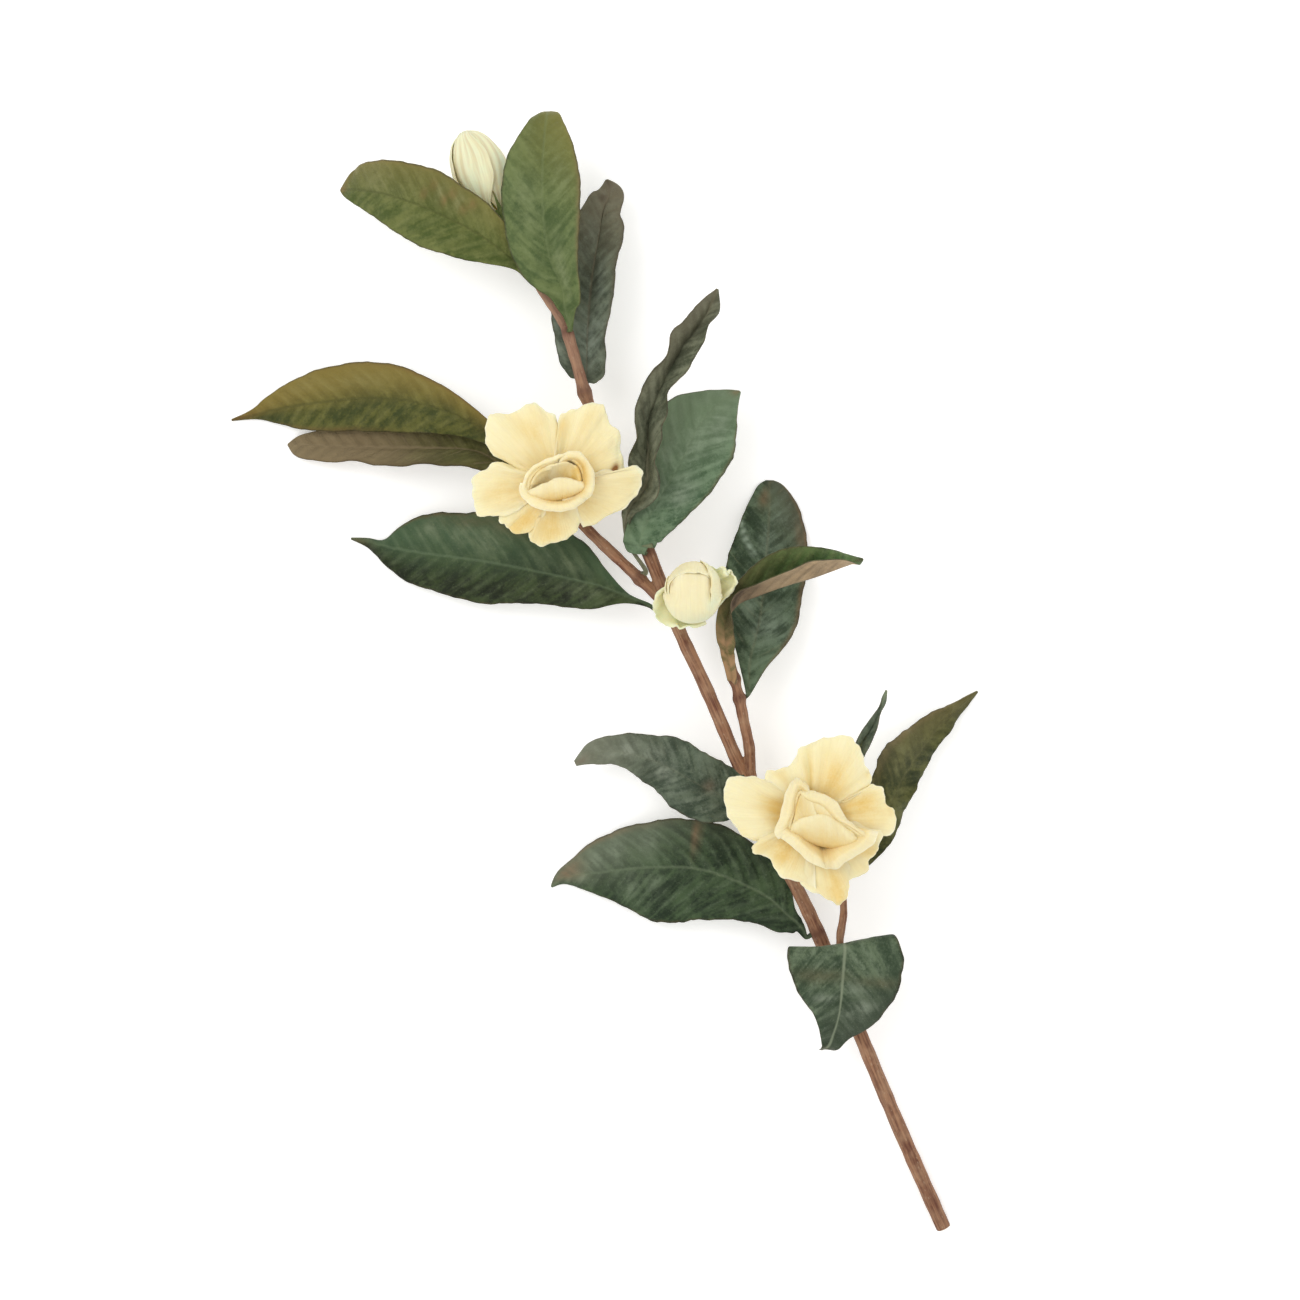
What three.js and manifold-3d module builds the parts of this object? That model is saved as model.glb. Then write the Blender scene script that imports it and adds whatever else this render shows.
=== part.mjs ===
// A cut gardenia spray lying on a flat surface: one woody stem with its forks, fifteen
// leaves, two open flowers, a half-open bud and a closed bud.
// Millimetres, +Z up. Y runs from the cut end to the tip of the spray, and it rests on Z = 0.
import * as THREE from 'three';
import { mergeVertices } from 'three/addons/utils/BufferGeometryUtils.js';
import Module from 'manifold-3d';

const { degToRad, lerp, smoothstep, clamp } = THREE.MathUtils;

// ---- Driving dimensions ----------------------------------------------------------------

const TO_CENTRE = [0.4, 2.6, 0]; // moves the middle of the spray's box over the origin
const SEAT_GAP = 0.3; // clearance where a leaf or a calyx meets the wood
const STEM_SIDES = 8;

const PETIOLE = 2.2; // leaf stalk, square in section
const PETIOLE_RISE = 3; // how far a leaf stalk stands off the wood before it bends away
const RIB = 1.5; // thickness of a blade at its midrib
const BLADE_TIP = 0.8;
const MARGIN = 0.7; // thickness of a blade at its edge
const PETIOLE_SHARE = 0.18; // part of a leaf's length where the stalk thins into the blade
const BLADE_ARCH = 15; // degrees that each half of a blade bends between rib and margin

const PETAL = 0.8; // thickness of a petal in its middle
const PETAL_EDGE = 0.6;
const TWIST_START = 0.25; // part of a petal's length where its overlap twist grows to full

const FLOWER_HEIGHT = 50; // receptacle of the open flowers above the surface
const CALYX = 12; // length of an open flower's calyx
const BUD_CALYX = 8;

// Open flowers and buds: where each stands, which way it faces and how long its calyx is.
const MIDDLE_FLOWER = { at: [-24.5, 93.5, FLOWER_HEIGHT], axis: [0.1, -0.05, 1], calyx: CALYX };
const LOWER_FLOWER = { at: [104.5, -74, FLOWER_HEIGHT], axis: [0.05, -0.12, 1], calyx: CALYX };
const HALF_OPEN_BUD = { at: [42.5, 39, 40], axis: [0.1, 0.3, 1], calyx: BUD_CALYX };
const CLOSED_BUD = { at: [-52.5, 229.5, 33], axis: [-0.42, 0.9, -0.12], calyx: BUD_CALYX };

// A stalk's row of x, y, z and radius that lies `back` behind a flower on its axis.
function behind(flower, back, radius) {
  const axis = new THREE.Vector3(...flower.axis).normalize();
  return [...new THREE.Vector3(...flower.at).addScaledVector(axis, -back), radius];
}

const seat = (flower, radius) => behind(flower, flower.calyx + SEAT_GAP, radius);

// Stalks, as rows of x, y, z and radius from the base up.
const MAIN_STEM = [
  [171, -282, 3.5, 3.5], [149, -232, 9, 3.5], [128, -182.5, 15, 3.4], [108.5, -135.5, 20, 3.3],
  [99.5, -115.5, 22, 3.2], [83.5, -83.5, 24.5, 3.2], [68.5, -51, 26.5, 3.1], [51, -9.5, 28.5, 3.1],
  [37.5, 19.5, 29.5, 3.1], [25.5, 49.5, 30.5, 3.1], [10, 88, 32, 3], [-8, 133, 33, 2.8],
  [-13, 149.5, 33.5, 2.6], [-19.5, 171.5, 34, 2.4],
];
const RIGHT_BRANCH = [
  [76, -64.5, 25.5, 2.4], [73, -51, 27, 2.5], [72, -38, 28, 2.5], [69.2, -24.5, 28.5, 2.5],
  [66, -9.5, 29, 2.4], [62, 5, 31, 2.2],
];
const MIDDLE_STALK = [
  [33, 29.5, 30, 2.6], [23.5, 40, 29.5, 2.6], [5.5, 57, 30, 2.6], [-9, 71, 31, 2.5],
  [-18.5, 82.5, 31.5, 2.4], behind(MIDDLE_FLOWER, 16.5, 2.3), seat(MIDDLE_FLOWER, 2.2),
];
const LOWER_STALK = [
  [122.5, -170.5, 16, 1.7], [119, -153, 20, 1.7], [117.5, -134.5, 25, 1.7], [119, -117, 29, 1.7],
  [113.5, -92, 31, 1.7], behind(LOWER_FLOWER, 16.5, 1.8), seat(LOWER_FLOWER, 2),
];
const HALF_OPEN_STALK = [
  [37, 22.5, 29.3, 1.7], [40, 30, 27.5, 1.7], behind(HALF_OPEN_BUD, 11, 1.7),
  seat(HALF_OPEN_BUD, 1.7),
];
const CLOSED_BUD_STALK = [
  [-17.5, 165.5, 33.8, 1.8], [-24, 178, 34.5, 1.8], [-32.5, 190.5, 35, 1.7],
  [-42.5, 210.5, 34.8, 1.6], seat(CLOSED_BUD, 1.6),
];

// ---- Shape helpers -----------------------------------------------------------------------

// A smooth blend through rows of numbers (uniform Catmull-Rom), with u from 0 to 1.
function blend(rows, u) {
  const last = rows.length - 1;
  const place = clamp(u, 0, 1) * last;
  const i = Math.min(Math.floor(place), last - 1);
  const t = place - i;
  const [before, after] = [rows[Math.max(i - 1, 0)], rows[Math.min(i + 2, last)]];
  return rows[i].map((from, k) => {
    const rise = rows[i + 1][k] - from;
    const leave = (rows[i + 1][k] - before[k]) / 2;
    const arrive = (after[k] - from) / 2;
    const [bend, turn] = [3 * rise - 2 * leave - arrive, leave + arrive - 2 * rise];
    return from + leave * t + bend * t ** 2 + turn * t ** 3;
  });
}

// Where a row's first three numbers lie at u, and which way they run there.
function pathPoint(rows, u) {
  const step = 0.002;
  const at = (w) => new THREE.Vector3(...blend(rows, w).slice(0, 3));
  return { point: at(u), along: at(u + step).sub(at(u - step)).normalize() };
}

// Moves every vertex of a geometry with `place` and joins the vertices that meet.
function warp(geometry, place) {
  const position = geometry.getAttribute('position');
  for (let i = 0; i < position.count; i++) {
    const moved = place(new THREE.Vector3().fromBufferAttribute(position, i));
    position.setXYZ(i, moved.x, moved.y, moved.z);
  }
  geometry.deleteAttribute('normal');
  geometry.deleteAttribute('uv');
  const joined = mergeVertices(geometry, 1e-4);
  joined.computeVertexNormals();
  return joined;
}

// A thin closed sheet. `surface(u, v)` returns a point, its normal and the thickness there,
// with u from 0 at the base to 1 at the tip and v from -1 to 1 across.
function sheet(uSteps, vSteps, surface) {
  const slab = new THREE.BoxGeometry(1, 2, 1, uSteps, vSteps, 1);
  return warp(slab, (p) => {
    const { point, normal, thickness } = surface(p.x + 0.5, p.y);
    return point.addScaledVector(normal, p.z * thickness);
  });
}

function piece(name, geometry, color, roughness) {
  const material = new THREE.MeshStandardMaterial({ color, roughness, metalness: 0 });
  const mesh = new THREE.Mesh(geometry, material);
  mesh.name = name;
  return mesh;
}

// ---- Woody stem --------------------------------------------------------------------------

const STEPS_PER_ROW = 2;
const SIDEWAYS = new THREE.Vector3(1, 0, 0); // no stalk runs this way

function stalkGeometry(rows) {
  const rod = new THREE.CylinderGeometry(1, 1, 1, STEM_SIDES, (rows.length - 1) * STEPS_PER_ROW);
  return warp(rod, (p) => {
    const u = p.y + 0.5;
    const radius = blend(rows, u)[3];
    const { point, along } = pathPoint(rows, u);
    const side = SIDEWAYS.clone().addScaledVector(along, -SIDEWAYS.dot(along)).normalize();
    const up = side.clone().cross(along);
    return point.addScaledVector(side, p.x * radius).addScaledVector(up, p.z * radius);
  });
}

const wasm = await Module();
wasm.setup();

function solid(geometry) {
  const mesh = new wasm.Mesh({
    numProp: 3,
    vertProperties: geometry.getAttribute('position').array,
    triVerts: Uint32Array.from(geometry.index.array),
  });
  return new wasm.Manifold(mesh);
}

function fromSolid(body) {
  const mesh = body.getMesh();
  const geometry = new THREE.BufferGeometry();
  geometry.setAttribute('position', new THREE.BufferAttribute(mesh.vertProperties, 3));
  geometry.setIndex(new THREE.BufferAttribute(mesh.triVerts, 1));
  geometry.computeVertexNormals();
  return geometry;
}

function woodyStem() {
  const stalks = [MAIN_STEM, RIGHT_BRANCH, MIDDLE_STALK, LOWER_STALK, HALF_OPEN_STALK, CLOSED_BUD_STALK];
  const wood = stalks.map((rows) => solid(stalkGeometry(rows))).reduce((all, one) => all.add(one));
  return piece('woody_stem', fromSolid(wood), '#9a6a4a', 0.7);
}

// ---- Leaves ------------------------------------------------------------------------------

const UP = new THREE.Vector3(0, 0, 1);

// Where a leaf leaves its stalk: the point of the stalk's path nearest to height y in plan,
// moved out to the skin on the side that faces the leaf.
function axil(stalk, y, towards) {
  let u = 0;
  while (u < 1 && pathPoint(stalk, u).point.y < y) u += 0.002;
  const { point, along } = pathPoint(stalk, u);
  const out = new THREE.Vector3(...towards).sub(point);
  out.addScaledVector(along, -out.dot(along)).normalize();
  const skin = point.addScaledVector(out, blend(stalk, u)[3] + SEAT_GAP);
  const bend = skin.clone().addScaledVector(out, PETIOLE_RISE);
  return [skin, bend].map((p) => [...p, PETIOLE / 2, PETIOLE / 2, 0, 0]);
}

// Rows hold x, y, z of the midrib, the half widths left and right of it, and the degrees
// that each half rises from it. `across` points to the leaf's left where that isn't level.
function leafSurface(rows, across) {
  const [start, end] = [rows[0], rows.at(-1)];
  const run = new THREE.Vector3(end[0] - start[0], end[1] - start[1], 0);
  const left = across ? new THREE.Vector3(...across) : UP.clone().cross(run).normalize();
  const arch = degToRad(BLADE_ARCH);
  return (u, v) => {
    const [, , , leftWidth, rightWidth, leftRise, rightRise] = blend(rows, u);
    const { point, along } = pathPoint(rows, u);
    const side = left.clone().addScaledVector(along, -left.dot(along)).normalize();
    const face = along.clone().cross(side);
    const part = Math.abs(v);
    const width = v > 0 ? leftWidth : rightWidth;
    const rise = degToRad(v > 0 ? leftRise : rightRise);
    const [steep, slope] = [rise + arch / 2, rise + arch * (0.5 - part)];
    point.addScaledVector(side, (Math.sign(v) * width * (Math.sin(steep) - Math.sin(slope))) / arch);
    point.addScaledVector(face, (width * (Math.cos(slope) - Math.cos(steep))) / arch);
    const lean = -Math.sign(v) * Math.sin(slope);
    const upright = v === 0 ? 1 : Math.cos(slope);
    const normal = face.clone().multiplyScalar(upright).addScaledVector(side, lean);
    const thin = smoothstep(u, 0, PETIOLE_SHARE);
    const rib = lerp(lerp(PETIOLE, RIB, thin), BLADE_TIP, smoothstep(u, 0.5, 1));
    const thickness = lerp(rib, lerp(PETIOLE, MARGIN, thin), part);
    return { point, normal, thickness };
  };
}

const LEAF_STEPS_ACROSS = 4;

function leaf(name, { stalk, y, rows, across, color }) {
  const whole = [...axil(stalk, y, rows[0].slice(0, 3)), ...rows];
  const steps = Math.round((whole.length - 1) * 1.6);
  return piece(name, sheet(steps, LEAF_STEPS_ACROSS, leafSurface(whole, across)), color, 0.55);
}

const LEAVES = {
  leaf_top_centre: {
    stalk: MAIN_STEM, y: 169, color: '#64704a',
    rows: [
      [-20, 181, 40, 3.5, 4.5, 0, 0], [-21, 190, 42, 11, 8.5, 12, 12],
      [-27.5, 206, 44, 17.5, 15.5, 12, 12], [-30.5, 229, 46, 20.5, 19, 8, 8],
      [-30.5, 252, 46, 18.5, 18.5, 4, 4], [-29, 271.5, 43, 10, 11.5, -5, -5],
      [-28, 277.5, 37, 5, 5, 0, 0], [-27, 276, 31, 0.6, 0.6, 0, 0],
    ],
  },
  leaf_top_left: {
    stalk: CLOSED_BUD_STALK, y: 196, color: '#656b38',
    rows: [
      [-44, 203, 41, 4.5, 5, 0, 20], [-62.5, 216.5, 42.5, 15, 15.5, 0, 25],
      [-87.5, 229.5, 38, 18.5, 19.5, 0, 20], [-110, 238, 30, 13.5, 17, -5, 10],
      [-125, 241, 22, 6.5, 11.5, -5, 0], [-133, 242, 15, 0.6, 0.6, 0, 0],
    ],
  },
  leaf_top_right: {
    stalk: MAIN_STEM, y: 139, color: '#58604f',
    rows: [
      [-9, 146, 27.5, 7, 7, 10, 20], [-9, 153, 27, 13, 9, 10, 30],
      [-8.5, 170.5, 26, 18, 12, 10, 35], [-6.5, 195.5, 24, 20, 15, 10, 35],
      [-2.5, 220.5, 22, 15, 14, 10, 35], [0.5, 242, 20.5, 6, 6, 10, 20], [8.5, 240, 19, 0.8, 0.8, 0, 0],
    ],
  },
  leaf_upper_left: {
    stalk: MIDDLE_STALK, y: 84, color: '#696635',
    rows: [
      [-38, 103, 33, 2, 2, 0, 0], [-59, 119.5, 30.5, 6, 5, 0, 5], [-82.5, 131, 26, 13, 11, -5, 5],
      [-112.5, 137, 18, 17, 18, -10, 5], [-147.5, 135, 9, 14, 15.5, -8, 5],
      [-171.5, 131.5, 3.5, 6, 6.5, -4, 0], [-189.5, 127, 0.4, 0.5, 0.5, 0, 0],
    ],
  },
  leaf_upper_left_under: {
    stalk: MIDDLE_STALK, y: 80, color: '#615834',
    rows: [
      [-37, 92, 27, 2, 2, 0, 0], [-50, 101, 26, 6, 5, 20, 0], [-65, 109.5, 23, 13, 10, 50, 0],
      [-92.5, 112, 15, 16, 12, 50, 0], [-127.5, 113, 7, 12, 11, 45, 0],
      [-152.5, 114, 3, 8, 6, 30, 0], [-161, 114.5, 1.5, 0.5, 0.5, 0, 0],
    ],
  },
  leaf_mid_left: {
    stalk: MAIN_STEM, y: 29, color: '#3c4e36',
    rows: [
      [22.5, 32.5, 27.5, 1.1, 1.1, 0, 0], [11, 37.5, 26, 4, 1.5, 0, 0], [-2.5, 42.5, 24.5, 12, 9, 0, 0],
      [-15, 45.5, 22.5, 14, 20, -3, -3], [-37.5, 50.5, 19.5, 17, 26, -4, -4],
      [-61, 55, 15, 21, 25, -5, -5], [-92.5, 59.5, 8.5, 17, 20, -5, -5],
      [-112.5, 63, 3.5, 11, 5, -3, -3], [-129, 66.5, 0.4, 0.5, 0.5, 0, 0],
    ],
  },
  leaf_mid_right_curled: {
    stalk: MAIN_STEM, y: 52, color: '#57574a',
    rows: [
      [21.5, 68, 41, 2.5, 2.5, 20, 20], [20, 85.5, 42.5, 8, 9, 45, 50], [21.5, 105.5, 44, 12, 14, 50, 60],
      [22.5, 125.5, 45.5, 14, 14, 58, 65], [30, 145.5, 46.5, 14, 13, 62, 62],
      [38, 160, 46, 13, 13, 60, 58], [49, 174.5, 44, 9, 9, 50, 45], [56, 189.5, 40, 0.6, 0.6, 0, 0],
    ],
  },
  leaf_mid_right_broad: {
    stalk: MIDDLE_STALK, y: 47, color: '#5f6f58',
    rows: [
      [13.5, 57, 36.5, 1.2, 1.2, 0, 0], [12.5, 64, 38.2, 3, 7, 5, 0],
      [23.5, 79.5, 38.5, 9, 14.5, 0, -3], [36, 100.5, 38, 15, 21, -3, -5],
      [46, 120.5, 36, 21, 22, -5, -5], [56.5, 133, 33, 10, 14, -5, -5], [67.5, 139.5, 28, 0.6, 0.6, 0, 0],
    ],
  },
  leaf_right_back: {
    stalk: RIGHT_BRANCH, y: -13, color: '#4b5540',
    rows: [
      [72.5, 5, 23.5, 6, 10, 0, 0], [77.5, 25.5, 17.5, 18, 18.5, -3, -3], [80.5, 50.5, 11, 20, 20.5, -4, -4],
      [82.5, 75.5, 5, 14, 18.5, -3, -3], [83, 92, 1.5, 7, 9, 0, 0], [83, 96.5, 0.4, 2, 2, 0, 0],
    ],
  },
  leaf_right_folded: {
    stalk: RIGHT_BRANCH, y: 2, color: '#4a5430',
    rows: [
      [59.5, 14, 36.5, 3.5, 3.5, 0, 0], [60, 24, 39.5, 4.5, 5, 10, 20], [66, 33, 41.5, 8, 10, 25, 80],
      [76, 37.5, 42, 14, 14, 25, 105], [90, 42.5, 42, 19, 14, 25, 105],
      [103.5, 46.5, 40, 16.5, 13, 22, 105], [117.5, 51.5, 34, 9, 8, 15, 90], [129, 56, 24, 0.6, 0.6, 0, 0],
    ],
  },
  leaf_lower_left_narrow: {
    stalk: MAIN_STEM, y: -74, color: '#6f7460',
    rows: [
      [69, -68, 29.5, 2, 2, 0, 0], [62.5, -64.5, 30, 12, 15, 0, 0], [45, -55.5, 33, 18, 15, 0, 0],
      [27.5, -45.5, 30, 14, 14, -5, -5], [7.5, -39.5, 24, 9.5, 8, -5, -5], [-14, -46, 17, 1, 1, 0, 0],
    ],
  },
  leaf_lower_left_broad: {
    stalk: MAIN_STEM, y: -137, color: '#4e5b42',
    rows: [
      [98.5, -128.5, 22, 1.2, 1.2, 0, 0], [92, -122.5, 21.5, 9, 4, 0, 0], [77.5, -111, 18.5, 17, 17, 0, -5],
      [49.5, -100, 17, 26, 24, -5, -5], [23, -99, 12, 27.5, 23.5, -5, -5], [-3, -102, 6, 12, 17, -4, -4],
      [-27, -108.5, 0.4, 0.5, 0.5, 0, 0],
    ],
  },
  leaf_small_curled: {
    stalk: LOWER_STALK, y: -90, color: '#4c5440',
    rows: [
      [117.5, -80, 36, 1.1, 1.1, 0, 0], [121, -64.5, 38, 2, 2, 20, 20], [123.5, -46.5, 40, 5, 5, 50, 50],
      [127.5, -35.5, 40.5, 6, 6, 60, 60], [133.5, -27, 40, 5, 5, 60, 60],
      [137, -18.5, 38.5, 2.5, 2.5, 50, 50], [140, -9.5, 36, 0.5, 0.5, 0, 0],
    ],
  },
  leaf_lower_right: {
    stalk: LOWER_STALK, y: -101, color: '#5f5e3e',
    rows: [
      [126, -90, 30, 2, 2, 0, 0], [137.5, -74.5, 27.5, 10, 7, 0, 0], [150, -52, 20, 15.5, 8.5, 0, 0],
      [165, -32, 10, 10, 6, 0, 0], [178, -19.5, 4, 4.5, 3, 0, 0], [188.5, -10.5, 0.4, 0.5, 0.5, 0, 0],
    ],
  },
  leaf_low_front: {
    stalk: LOWER_STALK, y: -139.5, across: [1, 0.18, 0], color: '#5c6a50',
    rows: [
      [118.8, -135, 34, 6, 6, 10, 10], [119, -134, 38, 18, 17, 10, 10], [119, -136, 42, 28, 26.5, 10, 10],
      [118, -152, 40, 28, 26, 10, 10], [116.5, -169.5, 33, 20, 13.5, 10, 10],
      [114.5, -182, 28.5, 6.5, 6, 10, 10], [113, -190.5, 25, 0.6, 0.6, 0, 0],
    ],
  },
};

// ---- Petals ------------------------------------------------------------------------------

// Half width of a petal from its claw to its tip, as parts of the widest.
const OPEN_PETAL = [0.07, 0.27, 0.65, 0.92, 1, 0.9].map((part) => [part]);
const WRAPPED_PETAL = [0.08, 0.45, 0.88, 1, 0.8, 0.35].map((part) => [part]);
const POINTED_PETAL = [0.05, 0.36, 0.86, 1, 0.75, 0.1].map((part) => [part]);

// A whorl's profile holds radius and height from claw to tip. Each petal turns `twist` mm
// towards the axis per radian, so that its left edge lies over its neighbour's right edge.
function petalSurface({ profile, outline = OPEN_PETAL, twist, round = 0.28, stretch = [1, 1] }, petal) {
  const line = new THREE.SplineCurve(profile.map(([radius, height]) => new THREE.Vector2(radius, height)));
  const whole = line.getLength();
  const turn = degToRad(petal.azimuth);
  return (u, v) => {
    const along = u * petal.length * (1 - round * Math.abs(v) ** 3.2);
    const place = Math.min(along / whole, 1);
    const { x: radius, y: height } = line.getPointAt(place);
    const { x: outward, y: upward } = line.getTangentAt(place);
    const part = along / petal.length;
    const swing = (v * petal.width * blend(outline, part)[0]) / radius;
    const lift = twist * smoothstep(part, 0, TWIST_START) * swing;
    const [cos, sin] = [Math.cos(turn + swing), Math.sin(turn + swing)];
    const rim = radius - upward * lift;
    const point = new THREE.Vector3(rim * cos * stretch[0], rim * sin * stretch[1], height + outward * lift);
    const normal = new THREE.Vector3(-upward * cos, -upward * sin, outward);
    return { point, normal, thickness: lerp(PETAL, PETAL_EDGE, Math.abs(v)) };
  };
}

// Whorls of the open flowers, from the outside in.
const SPREADING = {
  profile: [[5, 0], [11, 4.2], [21, 7.5], [32, 8], [42, 5.5], [52, 2]],
  twist: 4, steps: [5, 4],
};
const RING = {
  profile: [[3.4, 2], [8, 8], [14, 13], [18, 19], [19.5, 22.5]],
  twist: 1.1, round: 0.2, steps: [5, 6],
};
const INNER = {
  profile: [[2.2, 3.6], [5.4, 9.2], [9, 15.2], [10.8, 20.5]],
  twist: 0.8, round: 0.2, steps: [4, 6],
};
const HEART = {
  profile: [[1, 5.2], [2.4, 10], [4.2, 15], [4.6, 19.5]],
  twist: 0.45, round: 0.15, steps: [4, 8],
};

// Whorls of the buds.
const LOBES = {
  profile: [[3.2, 0], [10, 2], [16, 6.5], [20, 10.5], [24, 13]],
  twist: 1, steps: [5, 4],
};
const GLOBE = {
  profile: [[2, 1], [9, 5], [13.5, 12], [12.5, 20], [7, 25.5]],
  outline: WRAPPED_PETAL, twist: 1, round: 0.12, steps: [6, 8],
};
const GLOBE_HEART = {
  profile: [[1, 3], [5, 8], [7.5, 14], [6.5, 20], [3.5, 23.5]],
  outline: WRAPPED_PETAL, twist: 0.2, round: 0.12, steps: [5, 10],
};
const SPINDLE = {
  profile: [[1.5, 0.4], [8, 8], [13, 20], [13, 30], [9, 39], [3.5, 43]],
  outline: POINTED_PETAL, twist: 1.35, round: 0.1, steps: [8, 6],
};

// One petal for each row of azimuth in degrees, length and half width.
function whorl(name, shape, rows, color) {
  return rows.map(([azimuth, length, width], i) => {
    const surface = petalSurface(shape, { azimuth, length, width });
    const label = rows.length > 1 ? `${name}_${i + 1}` : name;
    return piece(label, sheet(...shape.steps, surface), color, 0.6);
  });
}

// ---- Calyces -----------------------------------------------------------------------------

// Profiles of radius and height below the receptacle, with a step for each whorl's claws.
const OPEN_CALYX = [
  [0, -CALYX], [3, -CALYX], [3.6, -6], [5.9, -0.7], [4.2, -0.7], [4, 1.2], [2.7, 1.2], [2.5, 3.1],
  [1.5, 3.1], [1.4, 4.8], [0, 4.8],
];
const GLOBE_CALYX = [
  [0, -BUD_CALYX], [2.6, -BUD_CALYX], [4.2, -2.5], [4.7, -0.7], [2.7, -0.7], [2.5, 0.3], [1.4, 0.3],
  [1.2, 2.3], [0, 2.3],
];
const SPINDLE_CALYX = [[0, -BUD_CALYX], [2.2, -BUD_CALYX], [3.4, -3], [4, -0.3], [0, -0.3]];
const CALYX_SIDES = 12;

function calyx(name, profile) {
  const cup = new THREE.LatheGeometry(profile.map(([r, h]) => new THREE.Vector2(r, h)), CALYX_SIDES);
  cup.rotateX(Math.PI / 2);
  return piece(name, warp(cup, (p) => p), '#6f7a45', 0.6);
}

// ---- Flowers -----------------------------------------------------------------------------

function flower({ at, axis }, pieces) {
  const group = new THREE.Group();
  group.position.set(...at);
  group.quaternion.setFromUnitVectors(UP, new THREE.Vector3(...axis).normalize());
  group.add(...pieces);
  return group;
}

const CREAM = '#f2e2aa';
const PALE_CREAM = '#f4ebc4';
const GREEN_CREAM = '#e2e0b8';

const oval = (shape) => ({ ...shape, stretch: [1.03, 0.87] });
const middleFlower = flower(MIDDLE_FLOWER, [
  calyx('middle_flower_calyx', OPEN_CALYX),
  ...whorl('middle_flower_outer_petal', SPREADING, [
    [128, 40, 18.5], [58, 40, 17.5], [-5, 40, 17], [263, 28.5, 12], [230, 27, 11], [187, 40, 14],
  ], CREAM),
  ...whorl('middle_flower_ring_petal', oval(RING), [
    [20, 26, 19], [110, 27, 19], [200, 26, 19], [290, 25, 19],
  ], CREAM),
  ...whorl('middle_flower_inner_petal', oval(INNER), [
    [60, 20, 13.5], [180, 19, 13.5], [300, 18, 13.5],
  ], PALE_CREAM),
  ...whorl('middle_flower_heart_petal', oval(HEART), [[0, 14, 7.5], [180, 13, 7.5]], PALE_CREAM),
]);

const angular = (shape) => ({ ...shape, stretch: [1.12, 0.92] });
const lowerFlower = flower(LOWER_FLOWER, [
  calyx('lower_flower_calyx', OPEN_CALYX),
  ...whorl('lower_flower_outer_petal', SPREADING, [
    [159, 47, 16], [82, 41, 18.5], [13, 37, 15], [330, 32, 12], [285, 38, 12.5], [217, 33, 16],
  ], CREAM),
  ...whorl('lower_flower_ring_petal', angular(RING), [
    [180, 26, 23], [50, 27, 23], [295, 26, 23],
  ], CREAM),
  ...whorl('lower_flower_inner_petal', angular(INNER), [
    [0, 20, 13.5], [120, 20, 13.5], [240, 19, 13.5],
  ], PALE_CREAM),
  ...whorl('lower_flower_heart_petal', angular(HEART), [[90, 14, 7.5], [270, 13, 7.5]], PALE_CREAM),
]);

const halfOpenBud = flower(HALF_OPEN_BUD, [
  calyx('half_open_bud_calyx', GLOBE_CALYX),
  ...whorl('half_open_bud_lobe', LOBES, [[10, 26, 10], [206, 21, 9]], GREEN_CREAM),
  ...whorl('half_open_bud_petal', GLOBE, [[90, 32, 19], [210, 32, 19], [330, 31, 19]], PALE_CREAM),
  ...whorl('half_open_bud_heart', GLOBE_HEART, [[40, 22, 17]], PALE_CREAM),
]);

const closedBud = flower(CLOSED_BUD, [
  calyx('closed_bud_calyx', SPINDLE_CALYX),
  ...whorl('closed_bud_petal', SPINDLE, [
    [45, 49, 16], [135, 50, 16], [225, 49, 16], [315, 50, 16],
  ], GREEN_CREAM),
]);

// ---- The spray ---------------------------------------------------------------------------

const leaves = new THREE.Group();
for (const [name, shape] of Object.entries(LEAVES)) leaves.add(leaf(name, shape));

const spray = new THREE.Group();
spray.position.set(...TO_CENTRE);
spray.add(woodyStem(), leaves, middleFlower, lowerFlower, halfOpenBud, closedBud);

export default spray;
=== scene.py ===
"""Grows the visible surfaces of a cut gardenia spray around its solid frame.

Places and sizes are in millimetres until a mesh is placed. Y runs from the cut end of the
stem to the tip of the spray, and the spray lies on Z = 0.
"""

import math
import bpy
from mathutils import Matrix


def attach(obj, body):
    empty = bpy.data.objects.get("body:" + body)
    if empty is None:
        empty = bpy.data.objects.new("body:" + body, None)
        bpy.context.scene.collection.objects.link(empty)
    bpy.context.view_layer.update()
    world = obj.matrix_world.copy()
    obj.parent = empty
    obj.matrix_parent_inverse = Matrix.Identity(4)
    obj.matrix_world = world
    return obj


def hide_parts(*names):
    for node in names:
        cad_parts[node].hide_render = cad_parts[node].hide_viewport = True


bl_info = {
    "name": "Gardenia Spray",
    "version": (1, 0, 0),
    "blender": (4, 5, 0),
    "location": "View3D > Sidebar > Gardenia",
    "description": "Grows a cut gardenia spray: woody stem, leaves, open flowers and buds",
    "category": "Add Mesh",
}

import zlib
from dataclasses import dataclass, field

import bpy
import numpy as np
from mathutils import Vector

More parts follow.
